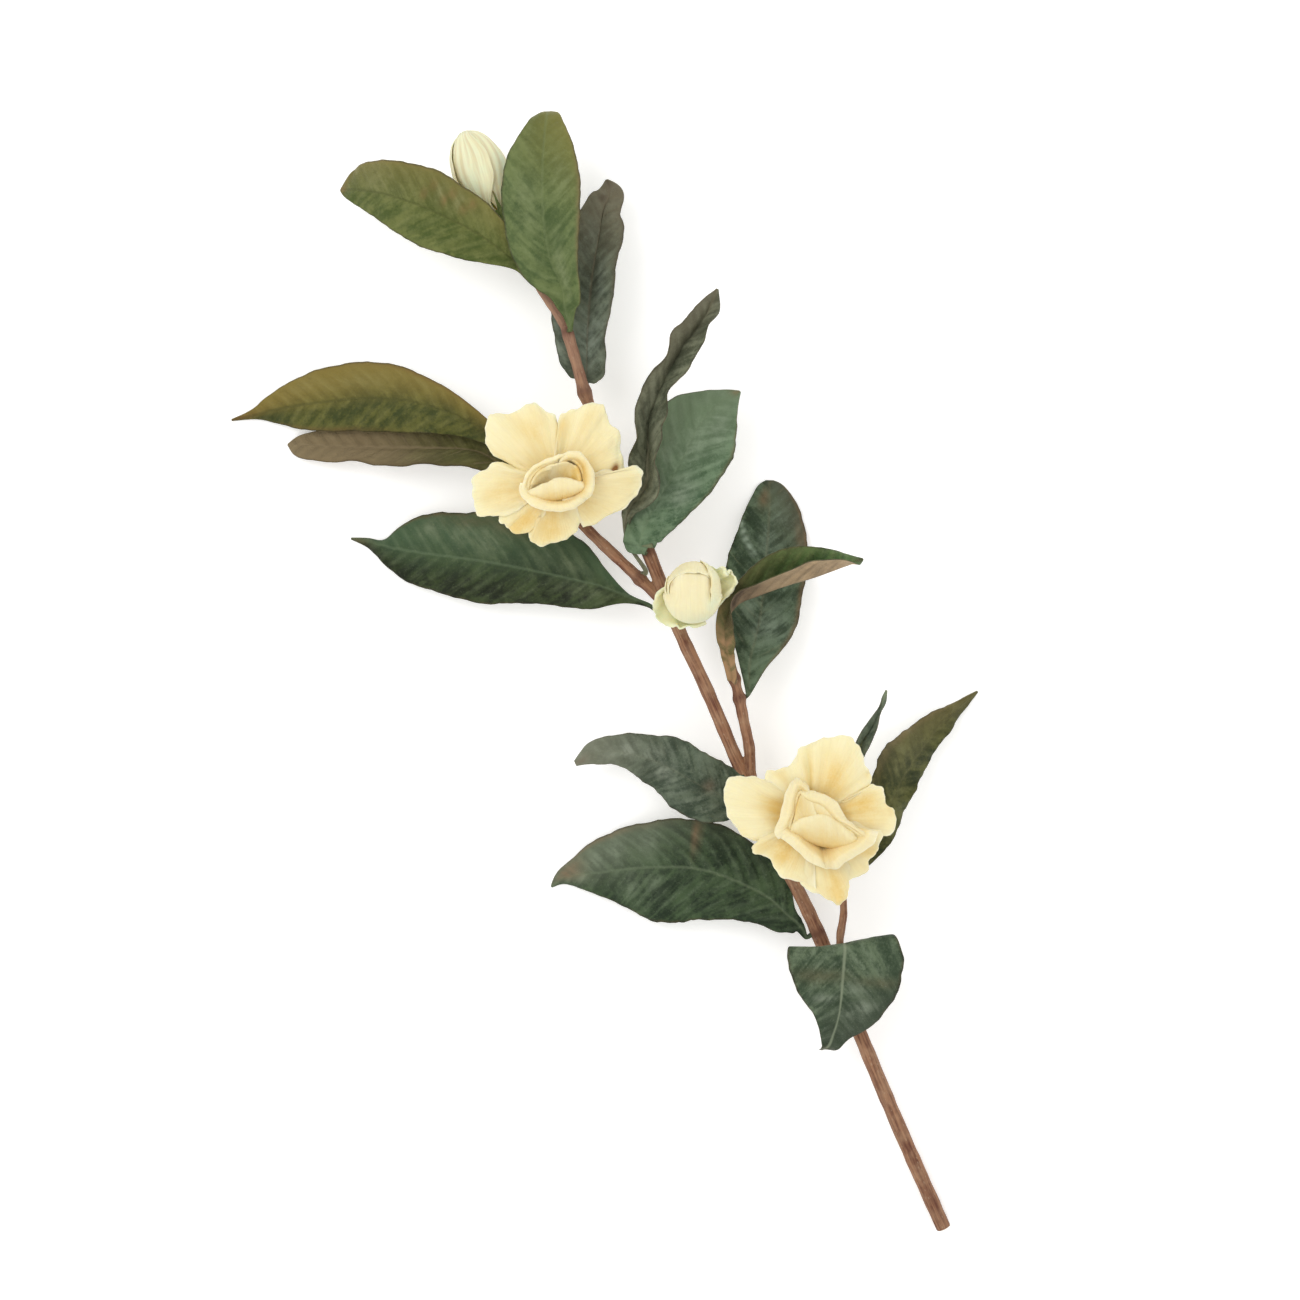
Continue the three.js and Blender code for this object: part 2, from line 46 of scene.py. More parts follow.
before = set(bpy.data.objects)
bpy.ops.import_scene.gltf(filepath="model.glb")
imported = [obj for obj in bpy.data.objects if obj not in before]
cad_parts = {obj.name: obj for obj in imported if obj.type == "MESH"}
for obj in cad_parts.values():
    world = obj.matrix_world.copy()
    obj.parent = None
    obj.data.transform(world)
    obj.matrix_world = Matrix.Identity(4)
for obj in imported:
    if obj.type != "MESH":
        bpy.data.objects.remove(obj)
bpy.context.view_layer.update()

MM = 0.001
TO_CENTRE = np.array([0.4, 2.6, 0.0])  # moves the middle of the spray over the origin
UP = np.array([0.0, 0.0, 1.0])
FLOOR_CLEARANCE = 0.35  # lowest height of the middle of a sheet
VIEW_CENTRE = np.array([22.5, 10.5])  # the point of the spray below the camera
VIEW_LEVEL = 25.0  # height at which the picture's width is measured
VIEW_DISTANCE = 1806.0  # from the camera down to that height


# ---- Settings ----------------------------------------------------------------------------


def srgb(red, green, blue):
    """A colour given from 0 to 255 as the eye sees it, as light."""
    shares = [channel / 255 for channel in (red, green, blue)]
    light = [s / 12.92 if s <= 0.04045 else ((s + 0.055) / 1.055) ** 2.4 for s in shares]
    return (*light, 1.0)


def colour_setting(name, description, colour):
    return bpy.props.FloatVectorProperty(
        name=name, description=description, subtype="COLOR", size=4, min=0, max=1,
        default=colour,
    )


def amount_setting(name, description, amount, **kind):
    return bpy.props.FloatProperty(
        name=name, description=description, min=0, default=amount, **kind
    )


def length_setting(name, description, length):
    return amount_setting(name, description, length, unit="LENGTH", subtype="DISTANCE")


class LeafSettings(bpy.types.PropertyGroup):
    rib: length_setting("Rib", "Thickness of a blade at its midrib", 1.1 * MM)
    margin: length_setting("Margin", "Thickness of a blade at its edge", 0.5 * MM)
    vein_spacing: length_setting("Vein spacing", "Distance between side veins", 8.5 * MM)
    puff: length_setting("Puff", "How far the blade swells between side veins", 0.45 * MM)


class PetalSettings(bpy.types.PropertyGroup):
    thickness: length_setting("Thickness", "Thickness of a petal in its middle", 0.6 * MM)
    cream: colour_setting("Cream", "Open part of a petal", srgb(244, 233, 190))
    # Yellower colour towards each petal's claw: partly its own tint, partly painted shade of the flower's
    # deep middle.
    claw_tint_and_shade: colour_setting("Fold", "Deep parts and claws of the petals", srgb(234, 204, 138))
    # Ochre colour: partly the petals' own yellowing, partly painted shade in their valleys and bowls.
    ochre_and_shade: colour_setting("Glow", "Warm patches on the petals", srgb(224, 182, 90))
    rim: colour_setting("Rim", "Edge of a petal", srgb(250, 244, 214))
    green: colour_setting("Green", "Green blush of buds and tips", srgb(226, 234, 198))
    streak: colour_setting("Streak", "Fine veins of a petal", srgb(206, 182, 140))
    # Worn colour: dried spots, and in places painted shade on the shaded inner walls of the middle flower
    # and in a pit of the lower one.
    worn: colour_setting("Worn", "Dried spots", srgb(140, 100, 62))


class StemSettings(bpy.types.PropertyGroup):
    voxel: length_setting("Voxel", "Fineness of the joined wood", 0.5 * MM)
    bark: colour_setting("Bark", "Bark between its streaks", srgb(148, 106, 78))
    streak: colour_setting("Streak", "Dark streaks along the bark", srgb(96, 56, 40))
    wood: colour_setting("Wood", "Freshly cut wood", srgb(214, 190, 150))


class StageSettings(bpy.types.PropertyGroup):
    floor: colour_setting("Floor", "Plain pale floor", (0.93, 0.925, 0.915, 1.0))
    floor_glow: amount_setting("Floor glow", "Light of the floor itself, which fills shadows", 0.3)
    view_width: length_setting("View width", "Width of the picture at the spray", 0.65)
    key_power: amount_setting("Key power", "Power of the large soft light", 10.0, unit="POWER")
    sky: amount_setting("Sky", "Strength of the even light from all round", 0.9)


# ---- Curves and small sums -----------------------------------------------------------------


def blend(rows, u):
    """A smooth blend through rows of numbers (uniform Catmull-Rom), with u from 0 to 1.
    Rows of three dimensions hold rows of their own for each u."""
    rows = np.asarray(rows, float)
    each = rows.ndim == 3
    last = rows.shape[1 if each else 0] - 1
    place = np.clip(u, 0, 1) * last
    i = np.minimum(place.astype(int), last - 1)
    t = (place - i)[..., None]

    def row(k):
        return rows[np.arange(len(u)), k] if each else rows[k]

    before, start = row(np.maximum(i - 1, 0)), row(i)
    end, after = row(i + 1), row(np.minimum(i + 2, last))
    leave, arrive, rise = (end - before) / 2, (after - start) / 2, end - start
    bend, turn = 3 * rise - 2 * leave - arrive, leave + arrive - 2 * rise
    return start + leave * t + bend * t**2 + turn * t**3


def unit(vectors):
    return vectors / np.linalg.norm(vectors, axis=-1, keepdims=True)


def path_point(rows, u):
    """Where a row's first three numbers lie at u, and which way they run there."""
    step = 0.002
    ahead, behind_it = blend(rows, u + step), blend(rows, u - step)
    return blend(rows, u)[..., :3], unit((ahead - behind_it)[..., :3])


def smooth(x, low, high):
    t = np.clip((x - low) / (high - low), 0, 1)
    return t * t * (3 - 2 * t)


def along_path(rows, count=400):
    """Even values of u along a path and the distance run at each."""
    u = np.linspace(0, 1, count)
    points = blend(rows, u)[:, :3]
    steps = np.linalg.norm(np.diff(points, axis=0), axis=1)
    return u, np.concatenate([[0], np.cumsum(steps)])


def dice(name):
    """The random numbers of one piece, the same in each run."""
    return np.random.default_rng(zlib.crc32(name.encode()))


# ---- Places of the stalks and flowers ---------------------------------------------------------


@dataclass
class Bloom:
    """An open flower or a bud: where it stands, the way it faces and its calyx's depth."""

    at: tuple
    axis: tuple
    calyx: float


MIDDLE_FLOWER = Bloom((-24.5, 93.5, 50), (0.1, -0.05, 1), 12)
LOWER_FLOWER = Bloom((104.5, -74, 50), (0.05, -0.12, 1), 12)
HALF_OPEN_BUD = Bloom((42.5, 39, 40), (0.1, 0.3, 1), 8)
CLOSED_BUD = Bloom((-52.5, 229.5, 33), (-0.42, 0.9, -0.12), 8)

SEAT_OVERLAP = 1.0  # how far a stalk's end runs into its calyx


def behind(bloom, back, radius):
    """A stalk's row of x, y, z and radius that lies `back` behind a flower."""
    return (*(np.array(bloom.at) - back * unit(np.array(bloom.axis, float))), radius)


def seat(bloom, radius):
    return behind(bloom, bloom.calyx - SEAT_OVERLAP, radius)


MAIN_STEM = [
    (171, -282, 3.5, 3.5), (149, -232, 9, 3.5), (128, -182.5, 15, 3.4), (108.5, -135.5, 20, 3.3),
    (99.5, -115.5, 22, 3.2), (83.5, -83.5, 24.5, 3.2), (68.5, -51, 26.5, 3.1),
    (51, -9.5, 28.5, 3.1), (37.5, 19.5, 29.5, 3.1), (25.5, 49.5, 30.5, 3.1), (10, 88, 32, 3),
    (-8, 133, 33, 2.8), (-13, 149.5, 33.5, 2.6), (-19.5, 171.5, 34, 2.4),
]
RIGHT_BRANCH = [
    (76, -64.5, 25.5, 2.4), (73, -51, 27, 2.5), (72, -38, 28, 2.5), (69.2, -24.5, 28.5, 2.5),
    (66, -9.5, 29, 2.4), (62, 5, 31, 2.2),
]
MIDDLE_STALK = [
    (33, 29.5, 30, 2.6), (23.5, 40, 29.5, 2.6), (5.5, 57, 30, 2.6), (-9, 71, 31, 2.5),
    (-18.5, 82.5, 31.5, 2.4), behind(MIDDLE_FLOWER, 16.5, 2.3), seat(MIDDLE_FLOWER, 2.2),
]
LOWER_STALK = [
    (122.5, -170.5, 16, 1.7), (119, -153, 20, 1.7), (117.5, -134.5, 25, 1.7),
    (119, -117, 29, 1.7), (113.5, -92, 31, 1.7), behind(LOWER_FLOWER, 16.5, 1.8),
    seat(LOWER_FLOWER, 2),
]
HALF_OPEN_STALK = [
    (37, 22.5, 29.3, 1.7), (40, 30, 27.5, 1.7), behind(HALF_OPEN_BUD, 11, 1.7),
    seat(HALF_OPEN_BUD, 1.7),
]
CLOSED_BUD_STALK = [
    (-17.5, 165.5, 33.8, 1.8), (-24, 178, 34.5, 1.8), (-32.5, 190.5, 35, 1.7),
    (-42.5, 210.5, 34.8, 1.6), seat(CLOSED_BUD, 1.6),
]
STALKS = [
    MAIN_STEM, RIGHT_BRANCH, MIDDLE_STALK, LOWER_STALK, HALF_OPEN_STALK, CLOSED_BUD_STALK,
]


# ---- Leaves ----------------------------------------------------------------------------------

PETIOLE = 2.2  # width of a leaf stalk
PETIOLE_DEPTH = 0.8  # its depth, as a share of its width


@dataclass
class LeafLook:
    """Colours of a leaf as the eye sees them, from 0 to 255."""

    deep: tuple = (38, 54, 36)
    light: tuple = (78, 98, 66)
    wash: tuple = (104, 98, 52)
    pale: tuple = (128, 140, 112)
    rib: tuple = (136, 146, 112)
    worn: tuple = (134, 108, 78)
    under: tuple = (116, 124, 92)
    gloss: float = 0.45
    midrib: float = 0.6
    side_veins: float = 0.3


@dataclass
class Leaf:
    """A leaf, and the height y at which it leaves its stalk.

    Rows hold x, y, z of the midrib, the half widths left and right of it, and the degrees
    that each half rises from it. `foot` is half the leaf stalk's width on the wood, and
    `across` points to the left half where it isn't square to the leaf. The wash runs over
    the blade along s (share of its length) and v (across). Marks hold s, v, their reach
    along and across, and strength.
    """

    stalk: list
    y: float
    rows: list
    across: tuple = None
    look: LeafLook = field(default_factory=LeafLook)
    wave: float = 1.0
    foot: float = PETIOLE / 2
    wash: tuple = (0, 0, -1)
    pale: list = field(default_factory=list)
    worn: list = field(default_factory=list)
    underside_up: bool = False


LEAVES = {
    "leaf_top_centre": Leaf(
        MAIN_STEM, 169,
        [
            (-18.8, 176.6, 40, 2, 4.4, 0, 0), (-20, 181, 40.4, 4, 7.8, 4, 4),
            (-21, 190, 42, 9.8, 9.4, 12, 12),
            (-27.5, 206, 44, 17.5, 15.5, 12, 12), (-30.5, 229, 46, 20.5, 19, 8, 8),
            (-30.5, 252, 46, 18, 17.4, 4, 4), (-29, 271.5, 43, 8.8, 10, -5, -5),
            (-28, 277.5, 37, 5, 5, 0, 0), (-27, 276, 31, 0.6, 0.6, 0, 0),
        ],
        look=LeafLook(
            deep=(74, 92, 50), light=(112, 126, 76), wash=(134, 128, 60), pale=(138, 148, 108),
            rib=(122, 134, 92), midrib=0.3, side_veins=0.15,
        ),
        wave=0.9, wash=(0.9, -0.12, -0.55),
        worn=[(0.45, -0.97, 0.4, 0.07, 0.7), (0.97, 0.2, 0.04, 0.5, 0.5)],
        pale=[
            (0.2, -0.3, 0.14, 0.2, 0.9), (0.5, 0.4, 0.15, 0.3, 0.5), (0.62, -0.5, 0.1, 0.25, 0.5),
        ],
    ),
    "leaf_top_left": Leaf(
        CLOSED_BUD_STALK, 196,
        [
            (-44, 203, 41, 4.5, 5, 0, 20), (-62.5, 216.5, 42.5, 15, 15.5, 0, 25),
            (-87.5, 229.5, 38, 18.5, 19.5, 0, 20), (-110, 238, 30, 13.5, 17, -5, 10),
            (-125, 241, 22, 7, 14, -5, 0), (-130, 241.6, 17.5, 3.8, 9.6, 0, 0),
            (-133, 242, 15, 0.8, 0.8, 0, 0),
        ],
        look=LeafLook(
            deep=(74, 88, 36), light=(116, 122, 66), wash=(130, 118, 60), pale=(146, 144, 98),
            rib=(84, 90, 44), worn=(134, 108, 64), midrib=0.5, side_veins=0.12,
        ),
        wash=(0.1, -0.3, -0.1),
        worn=[
            (0.3, -0.7, 0.016, 0.16, 0.8), (0.33, -0.42, 0.016, 0.16, 0.8),
            (0.4, -0.68, 0.014, 0.16, 0.8), (0.43, -0.4, 0.014, 0.16, 0.8),
            (0.5, -0.62, 0.016, 0.16, 0.7), (0.53, -0.34, 0.016, 0.16, 0.7),
            (0.72, -0.96, 0.3, 0.06, 0.4), (0.99, 0, 0.03, 0.9, 1.0),
        ],
        pale=[(0.36, -0.55, 0.02, 0.3, 0.9), (0.46, -0.5, 0.02, 0.3, 0.9), (0.75, -0.3, 0.1, 0.4, 0.6)],
    ),
    "leaf_top_right": Leaf(
        MAIN_STEM, 139,
        [
            (-9.8, 143.6, 28, 2, 2, 0, 0), (-9.6, 145.4, 27.7, 7.5, 6.5, 5, 8),
            (-9.3, 148.4, 27.4, 10.5, 9.6, 10, 16), (-9, 154, 27, 14, 10.4, 10, 30),
            (-8.5, 170.5, 26, 18, 12, 10, 35), (-6.5, 195.5, 24, 20, 15, 10, 35),
            (-2.5, 220.5, 22, 15, 13.6, 10, 35), (-1, 230, 21.4, 10.5, 9.6, 10, 30),
            (2, 239.4, 20.7, 7.2, 7.6, 8, 8), (0.8, 246.4, 20, 0.7, 0.7, 0, 0),
        ],
        look=LeafLook(
            deep=(62, 70, 54), light=(108, 116, 94), wash=(134, 124, 100), pale=(146, 158, 142),
            rib=(126, 112, 90), worn=(78, 62, 50), midrib=0.35, side_veins=0.2,
        ),
        wave=1.4, wash=(0.8, 0, -0.45),
        worn=[(0.9, 0.3, 0.02, 0.2, 0.9), (0.99, 0, 0.04, 1, 0.7), (0.6, -0.95, 0.4, 0.08, 0.5)],
        pale=[
            (0.2, -0.2, 0.16, 0.8, 1.0), (0.25, 0.95, 0.2, 0.3, 1.0), (0.5, -0.4, 0.1, 0.3, 0.6),
            (0.7, 0.3, 0.1, 0.3, 0.4),
        ],
    ),
    "leaf_upper_left": Leaf(
        MIDDLE_STALK, 84,
        [
            (-38, 103, 33, 2, 2, 0, 0), (-59, 119.5, 30.5, 6, 5, 0, 5),
            (-82.5, 131, 26, 13, 11, -5, 5), (-112.5, 137, 18, 17, 18, -10, 5),
            (-147.5, 135, 9, 14, 15.5, -8, 5), (-168, 131.8, 4.2, 7, 8, -4, 0),
            (-177, 129.6, 2.2, 2.4, 3.4, 0, 0), (-189.5, 127, 0.4, 0.5, 0.5, 0, 0),
        ],
        look=LeafLook(
            deep=(58, 66, 26), light=(104, 104, 48), wash=(138, 120, 56), pale=(150, 142, 88),
            rib=(78, 78, 34), worn=(110, 78, 44), midrib=0.45, side_veins=0.12,
        ),
        wash=(0.35, -0.5, -0.15),
        worn=[
            (0.3, -0.96, 0.3, 0.08, 0.7), (0.7, 0.95, 0.2, 0.1, 0.6), (0.98, 0, 0.06, 1.2, 0.9),
            (0.12, -0.2, 0.1, 0.6, 0.3),
        ],
        pale=[(0.6, -0.5, 0.12, 0.2, 0.5), (0.42, -0.7, 0.08, 0.15, 0.4), (0.75, -0.6, 0.06, 0.2, 0.4)],
    ),
    "leaf_upper_left_under": Leaf(
        MIDDLE_STALK, 80,
        [
            (-37, 92, 27, 2, 2, 0, 0), (-50, 101, 26, 6, 5, 20, 0),
            (-65, 109.5, 23, 13, 10, 50, 0), (-92.5, 112, 15, 16, 12, 50, 0),
            (-127.5, 113, 7, 12, 11, 45, 0), (-152.5, 114, 3, 8, 6, 30, 0),
            (-161, 114.5, 1.5, 0.5, 0.5, 0, 0),
        ],
        look=LeafLook(
            deep=(62, 66, 40), light=(104, 94, 58), wash=(140, 122, 92), pale=(156, 140, 112),
            rib=(142, 126, 96), worn=(96, 76, 54), under=(92, 92, 46), gloss=0.6, side_veins=0.5,
        ),
        wash=(1.3, 0, -0.5), underside_up=True, worn=[(0.6, 0.95, 0.5, 0.1, 0.5)],
    ),
    "leaf_mid_left": Leaf(
        MAIN_STEM, 29,
        [
            (22.5, 32.5, 27.5, 1.1, 1.1, 0, 0), (11, 37.5, 26, 4, 1.5, 0, 0),
            (-2.5, 42.5, 24.5, 12, 9, 0, 0), (-15, 45.5, 22.5, 14, 20, -3, -3),
            (-37.5, 50.5, 19.5, 17, 26, -4, -4), (-61, 55, 15, 21, 25, -5, -5),
            (-92.5, 59.5, 8.5, 17, 20, -5, -5), (-107, 62, 5, 10.5, 10, -3, -3),
            (-113.5, 63.6, 3.2, 6.4, 3, 0, 0), (-120.5, 65.6, 1.6, 3, 1.7, 0, 0),
            (-129, 67, 0.4, 0.5, 0.5, 0, 0),
        ],
        look=LeafLook(
            deep=(23, 31, 11), light=(65, 79, 43), wash=(74, 98, 68), pale=(138, 148, 118),
            rib=(104, 122, 92), worn=(110, 82, 54), midrib=0.4, side_veins=0.12,
        ),
        wash=(0.3, -0.4, -0.02),
        pale=[
            (0.74, -0.6, 0.04, 0.25, 0.7), (0.64, -0.55, 0.04, 0.3, 0.7),
            (0.55, -0.45, 0.06, 0.3, 0.6), (0.3, -0.35, 0.1, 0.2, 0.4), (0.2, 0.3, 0.1, 0.3, 0.3),
        ],
        worn=[
            (0.7, -0.96, 0.25, 0.06, 0.6), (0.46, -0.8, 0.08, 0.2, 0.7), (0.6, -0.8, 0.1, 0.12, 0.4),
            (0.99, 0, 0.05, 1, 0.6),
        ],
    ),
    "leaf_mid_right_curled": Leaf(
        MIDDLE_STALK, 46.5,
        [
            (12.8, 61.5, 34, 0.9, 0.9, 0, 0), (10.4, 71, 36, 1.4, 1.4, 0, 0),
            (12.4, 80.5, 41, 4, 4.2, 20, 20), (20, 91.5, 43.2, 9.5, 11.5, 45, 48),
            (21.5, 105.5, 44, 12, 14, 50, 60), (22.5, 125.5, 45.5, 14, 14, 58, 65),
            (30, 145.5, 46.5, 14, 13, 62, 62), (38, 160, 46, 13, 13, 60, 58),
            (49, 174.5, 44, 9, 9, 50, 45), (56, 189.5, 40, 0.6, 0.6, 0, 0),
        ],
        look=LeafLook(
            deep=(72, 78, 58), light=(128, 132, 106), wash=(112, 106, 86), pale=(156, 158, 136),
            rib=(120, 112, 88), under=(114, 114, 92), gloss=0.55, midrib=0.4, side_veins=0.2,
        ),
        wave=2.2, wash=(0.7, 0.2, -0.45),
        pale=[(0.15, 0, 0.14, 1, 0.4), (0.5, 0.5, 0.1, 0.3, 0.5), (0.4, -0.6, 0.1, 0.3, 0.5)],
    ),
    "leaf_mid_right_broad": Leaf(
        MAIN_STEM, 59.5,
        [
            (17.6, 61.8, 37.8, 7.4, 6.6, 0, 0), (17.5, 63.4, 38.5, 8.4, 8.2, 5, 0),
            (18.4, 68, 38.8, 8.6, 10.5, 5, 0), (23.5, 79.5, 38.5, 10, 14.5, 0, -3),
            (36, 100.5, 38, 15, 21, -3, -5), (46, 120.5, 36, 21, 22, -5, -5),
            (56.5, 133, 33, 10, 14, -5, -5), (67.5, 139.5, 28, 0.6, 0.6, 0, 0),
        ],
        look=LeafLook(
            deep=(60, 86, 58), light=(114, 138, 106), wash=(116, 134, 102), pale=(158, 170, 148),
            rib=(116, 132, 100), worn=(128, 100, 66), midrib=0.2, side_veins=0.1,
        ),
        wash=(0.5, 0.2, -0.1),
        worn=[(0.98, 0.3, 0.03, 0.6, 0.9), (0.7, -0.97, 0.4, 0.05, 0.4)],
        pale=[
            (0.5, 0.5, 0.1, 0.2, 0.6), (0.35, -0.4, 0.08, 0.3, 0.7), (0.75, -0.4, 0.1, 0.3, 0.6),
            (0.6, -0.1, 0.12, 0.3, 0.4), (0.3, 0.3, 0.1, 0.4, 0.5),
        ],
    ),
    "leaf_right_back": Leaf(
        RIGHT_BRANCH, -13,
        [
            (72.5, 5, 23.5, 6, 10, 0, 0), (77.5, 25.5, 17.5, 18, 18.5, -3, -3),
            (80.5, 50.5, 11, 20, 20.5, -4, -4), (82.5, 75.5, 5, 14, 18.5, -3, -3),
            (83, 92, 1.5, 7, 9, 0, 0), (83, 96.5, 0.4, 2, 2, 0, 0),
        ],
        look=LeafLook(
            deep=(40, 57, 35), light=(96, 115, 87), wash=(78, 78, 60), pale=(144, 160, 140),
            rib=(150, 142, 110), worn=(126, 96, 66), midrib=0.12, side_veins=0.2,
        ),
        wash=(0.9, -0.3, -0.65),
        worn=[(0.9, 0.3, 0.05, 0.25, 0.8), (0.5, -0.97, 0.6, 0.08, 0.8), (0.7, -0.8, 0.08, 0.1, 0.5)],
        pale=[
            (0.2, -0.3, 0.12, 0.5, 0.8), (0.3, 0.3, 0.08, 0.3, 0.6), (0.65, 0.0, 0.1, 0.3, 0.5),
            (0.8, -0.3, 0.06, 0.3, 0.4), (0.75, 0.94, 0.016, 0.09, 2.0), (0.71, 0.8, 0.016, 0.09, 2.0),
            (0.67, 0.65, 0.016, 0.09, 2.0), (0.63, 0.5, 0.016, 0.09, 2.0), (0.59, 0.35, 0.016, 0.09, 1.6),
        ],
    ),
    "leaf_right_folded": Leaf(
        RIGHT_BRANCH, -3,
        [
            (61, 7, 33.5, 3, 3.8, 0, 0), (60.2, 14, 36.5, 4.4, 5.4, 0, 10),
            (60.2, 24, 39.5, 5.2, 6.2, 5, 45),
            (66, 33, 41.5, 9, 11, 25, 105), (76, 37.5, 42, 15, 14, 25, 112),
            (90, 42.5, 42, 19, 15, 25, 115), (103.5, 46.5, 40, 16.5, 14, 22, 115),
            (117.5, 51.5, 34, 9, 8, 15, 100), (129, 56, 24, 0.6, 0.6, 0, 0),
        ],
        look=LeafLook(
            deep=(44, 74, 30), light=(92, 124, 66), wash=(96, 94, 54), pale=(172, 136, 98),
            rib=(104, 96, 62), under=(192, 166, 130), worn=(70, 56, 42), midrib=0.3,
            side_veins=0.1,
        ),
        wave=0.6, wash=(-0.5, 0.4, 0.1), worn=[
            # The last of these turns the folded-back half dark brown near its base.
            (0.98, 0, 0.04, 1, 0.8), (0.3, 0.9, 0.1, 0.3, 0.4), (0.3, -0.6, 0.17, 1, 1.1),
        ],
        pale=[(-0.04, 0, 0.24, 4, 1.8)], foot=2.5,
    ),
    "leaf_lower_left_narrow": Leaf(
        MAIN_STEM, -74,
        [
            (69, -68, 29.5, 2, 2, 0, 0), (62.5, -64.5, 30, 12, 15, 0, 0),
            (45, -55.5, 33, 17, 15.5, 0, 0), (27.5, -46, 30, 12.5, 14.5, -5, -5),
            (8.5, -40.5, 24, 7.5, 8.5, -5, -5), (-5, -41, 20, 6, 6.5, -5, -5),
            (-15, -46.5, 17, 1.5, 1.5, 0, 0),
        ],
        look=LeafLook(
            deep=(46, 60, 44), light=(98, 110, 90), wash=(132, 134, 114), pale=(164, 170, 152),
            rib=(128, 132, 108), worn=(126, 104, 86), midrib=0.15, side_veins=0.2,
        ),
        wave=1.9, wash=(0.9, 0, -0.5), worn=[(0.97, 0.2, 0.05, 0.6, 0.5), (0.22, -0.1, 0.03, 0.2, 0.6)],
        pale=[
            (0.45, 0.3, 0.06, 0.3, 0.6), (0.55, -0.3, 0.05, 0.3, 0.6), (0.7, -0.2, 0.05, 0.4, 0.8),
            (0.8, 0.2, 0.05, 0.4, 0.7),
        ],
    ),
    "leaf_lower_left_broad": Leaf(
        MAIN_STEM, -131.2,
        [
            (98.6, -128.6, 22.4, 3.6, 1.6, 0, 0), (96.4, -126.4, 22, 6.4, 3, 0, 0),
            (92, -122.5, 21.5, 10.5, 5, 0, 0),
            (77.5, -111, 18.5, 17, 17, 0, -5), (49.5, -100, 17, 26, 24, -5, -5),
            (23, -99, 12, 27.5, 23.5, -5, -5), (-3, -102, 6, 12, 17, -4, -4),
            (-20, -104.5, 2, 4, 6, 0, 0), (-27.5, -109.5, 0.4, 0.5, 0.5, 0, 0),
        ],
        look=LeafLook(
            deep=(28, 44, 24), light=(70, 90, 58), wash=(106, 116, 94), pale=(144, 156, 132),
            rib=(112, 126, 98), worn=(142, 112, 84), midrib=0.4, side_veins=0.12,
        ),
        wash=(1.0, -0.3, -0.62),
        worn=[(0.46, -0.7, 0.01, 0.35, 0.9), (0.92, -0.3, 0.05, 0.6, 0.7), (0.8, -0.95, 0.2, 0.1, 0.5)],
        pale=[
            (0.62, -0.55, 0.035, 0.3, 0.6), (0.74, -0.5, 0.03, 0.3, 0.9),
            (0.82, -0.4, 0.03, 0.3, 0.9), (0.6, 0.3, 0.04, 0.2, 0.4), (0.7, 0.4, 0.04, 0.3, 0.5),
            (0.88, 0.2, 0.04, 0.4, 0.6),
        ],
    ),
    "leaf_small_curled": Leaf(
        LOWER_STALK, -90,
        [
            (117.5, -80, 36, 1.1, 1.1, 0, 0), (121, -64.5, 38, 2, 2, 20, 20),
            (123.5, -46.5, 40, 5, 5, 50, 50), (127.5, -35.5, 40.5, 6, 6, 60, 60),
            (133.5, -27, 40, 5, 5, 60, 60), (137, -18.5, 38.5, 2.5, 2.5, 50, 50),
            (140, -9.5, 36, 0.5, 0.5, 0, 0),
        ],
        look=LeafLook(deep=(80, 92, 74), light=(118, 128, 108), under=(128, 136, 116)),
        wave=1.4,
    ),
    "leaf_lower_right": Leaf(
        LOWER_STALK, -101,
        [
            (126, -93, 30, 3, 7, 0, 0), (137.5, -76, 27.5, 10, 9, 0, 0),
            (150, -52, 20, 15.5, 8.5, 0, 0), (165, -32, 10, 10, 6, 0, 0),
            (178, -19.5, 4, 4.5, 3, 0, 0), (188.5, -10.5, 0.4, 0.5, 0.5, 0, 0),
        ],
        look=LeafLook(
            deep=(46, 54, 24), light=(102, 104, 58), wash=(118, 110, 70), pale=(134, 132, 92),
            rib=(106, 104, 68), midrib=0.3, side_veins=0.15,
        ),
        wave=2.6, wash=(0.8, 0.2, -0.45), worn=[(0.6, 0.9, 0.3, 0.15, 0.4)],
        pale=[(0.5, 0.4, 0.1, 0.3, 0.5), (0.3, -0.3, 0.1, 0.3, 0.3)],
    ),
    "leaf_low_front": Leaf(
        LOWER_STALK, -139.5,
        [
            (118.8, -136.2, 34, 6, 6, 0, 0), (119, -136, 38.5, 19, 18, 2, 4),
            (119, -138.4, 42, 29, 28, 4, 2), (118, -153, 40.5, 28.5, 25.5, 8, 8),
            (116.5, -169.5, 34, 20.5, 14.5, 10, 10), (113.5, -182, 28.5, 9, 6.5, 5, 5),
            (111.5, -187.5, 26, 5, 4, 0, 0), (108, -189.5, 23.5, 1.5, 1.5, 0, 0),
        ],
        across=(1, 0.19, 0),
        look=LeafLook(
            deep=(46, 64, 42), light=(106, 122, 94), wash=(52, 64, 46), pale=(158, 168, 148),
            rib=(140, 150, 124), worn=(98, 88, 60), midrib=0.75, side_veins=0.1,
        ),
        wave=0.8, wash=(1.1, 0.3, -0.45),
        pale=[
            (0.5, -0.45, 0.03, 0.25, 0.9), (0.55, 0.5, 0.04, 0.2, 0.9), (0.62, 0.3, 0.04, 0.25, 0.6),
            (0.42, 0.2, 0.05, 0.2, 0.5),
        ],
        worn=[(0.33, -0.5, 0.05, 0.6, 0.6), (0.35, 0.6, 0.04, 0.4, 0.5), (0.98, 0, 0.04, 1, 0.7)],
    ),
}

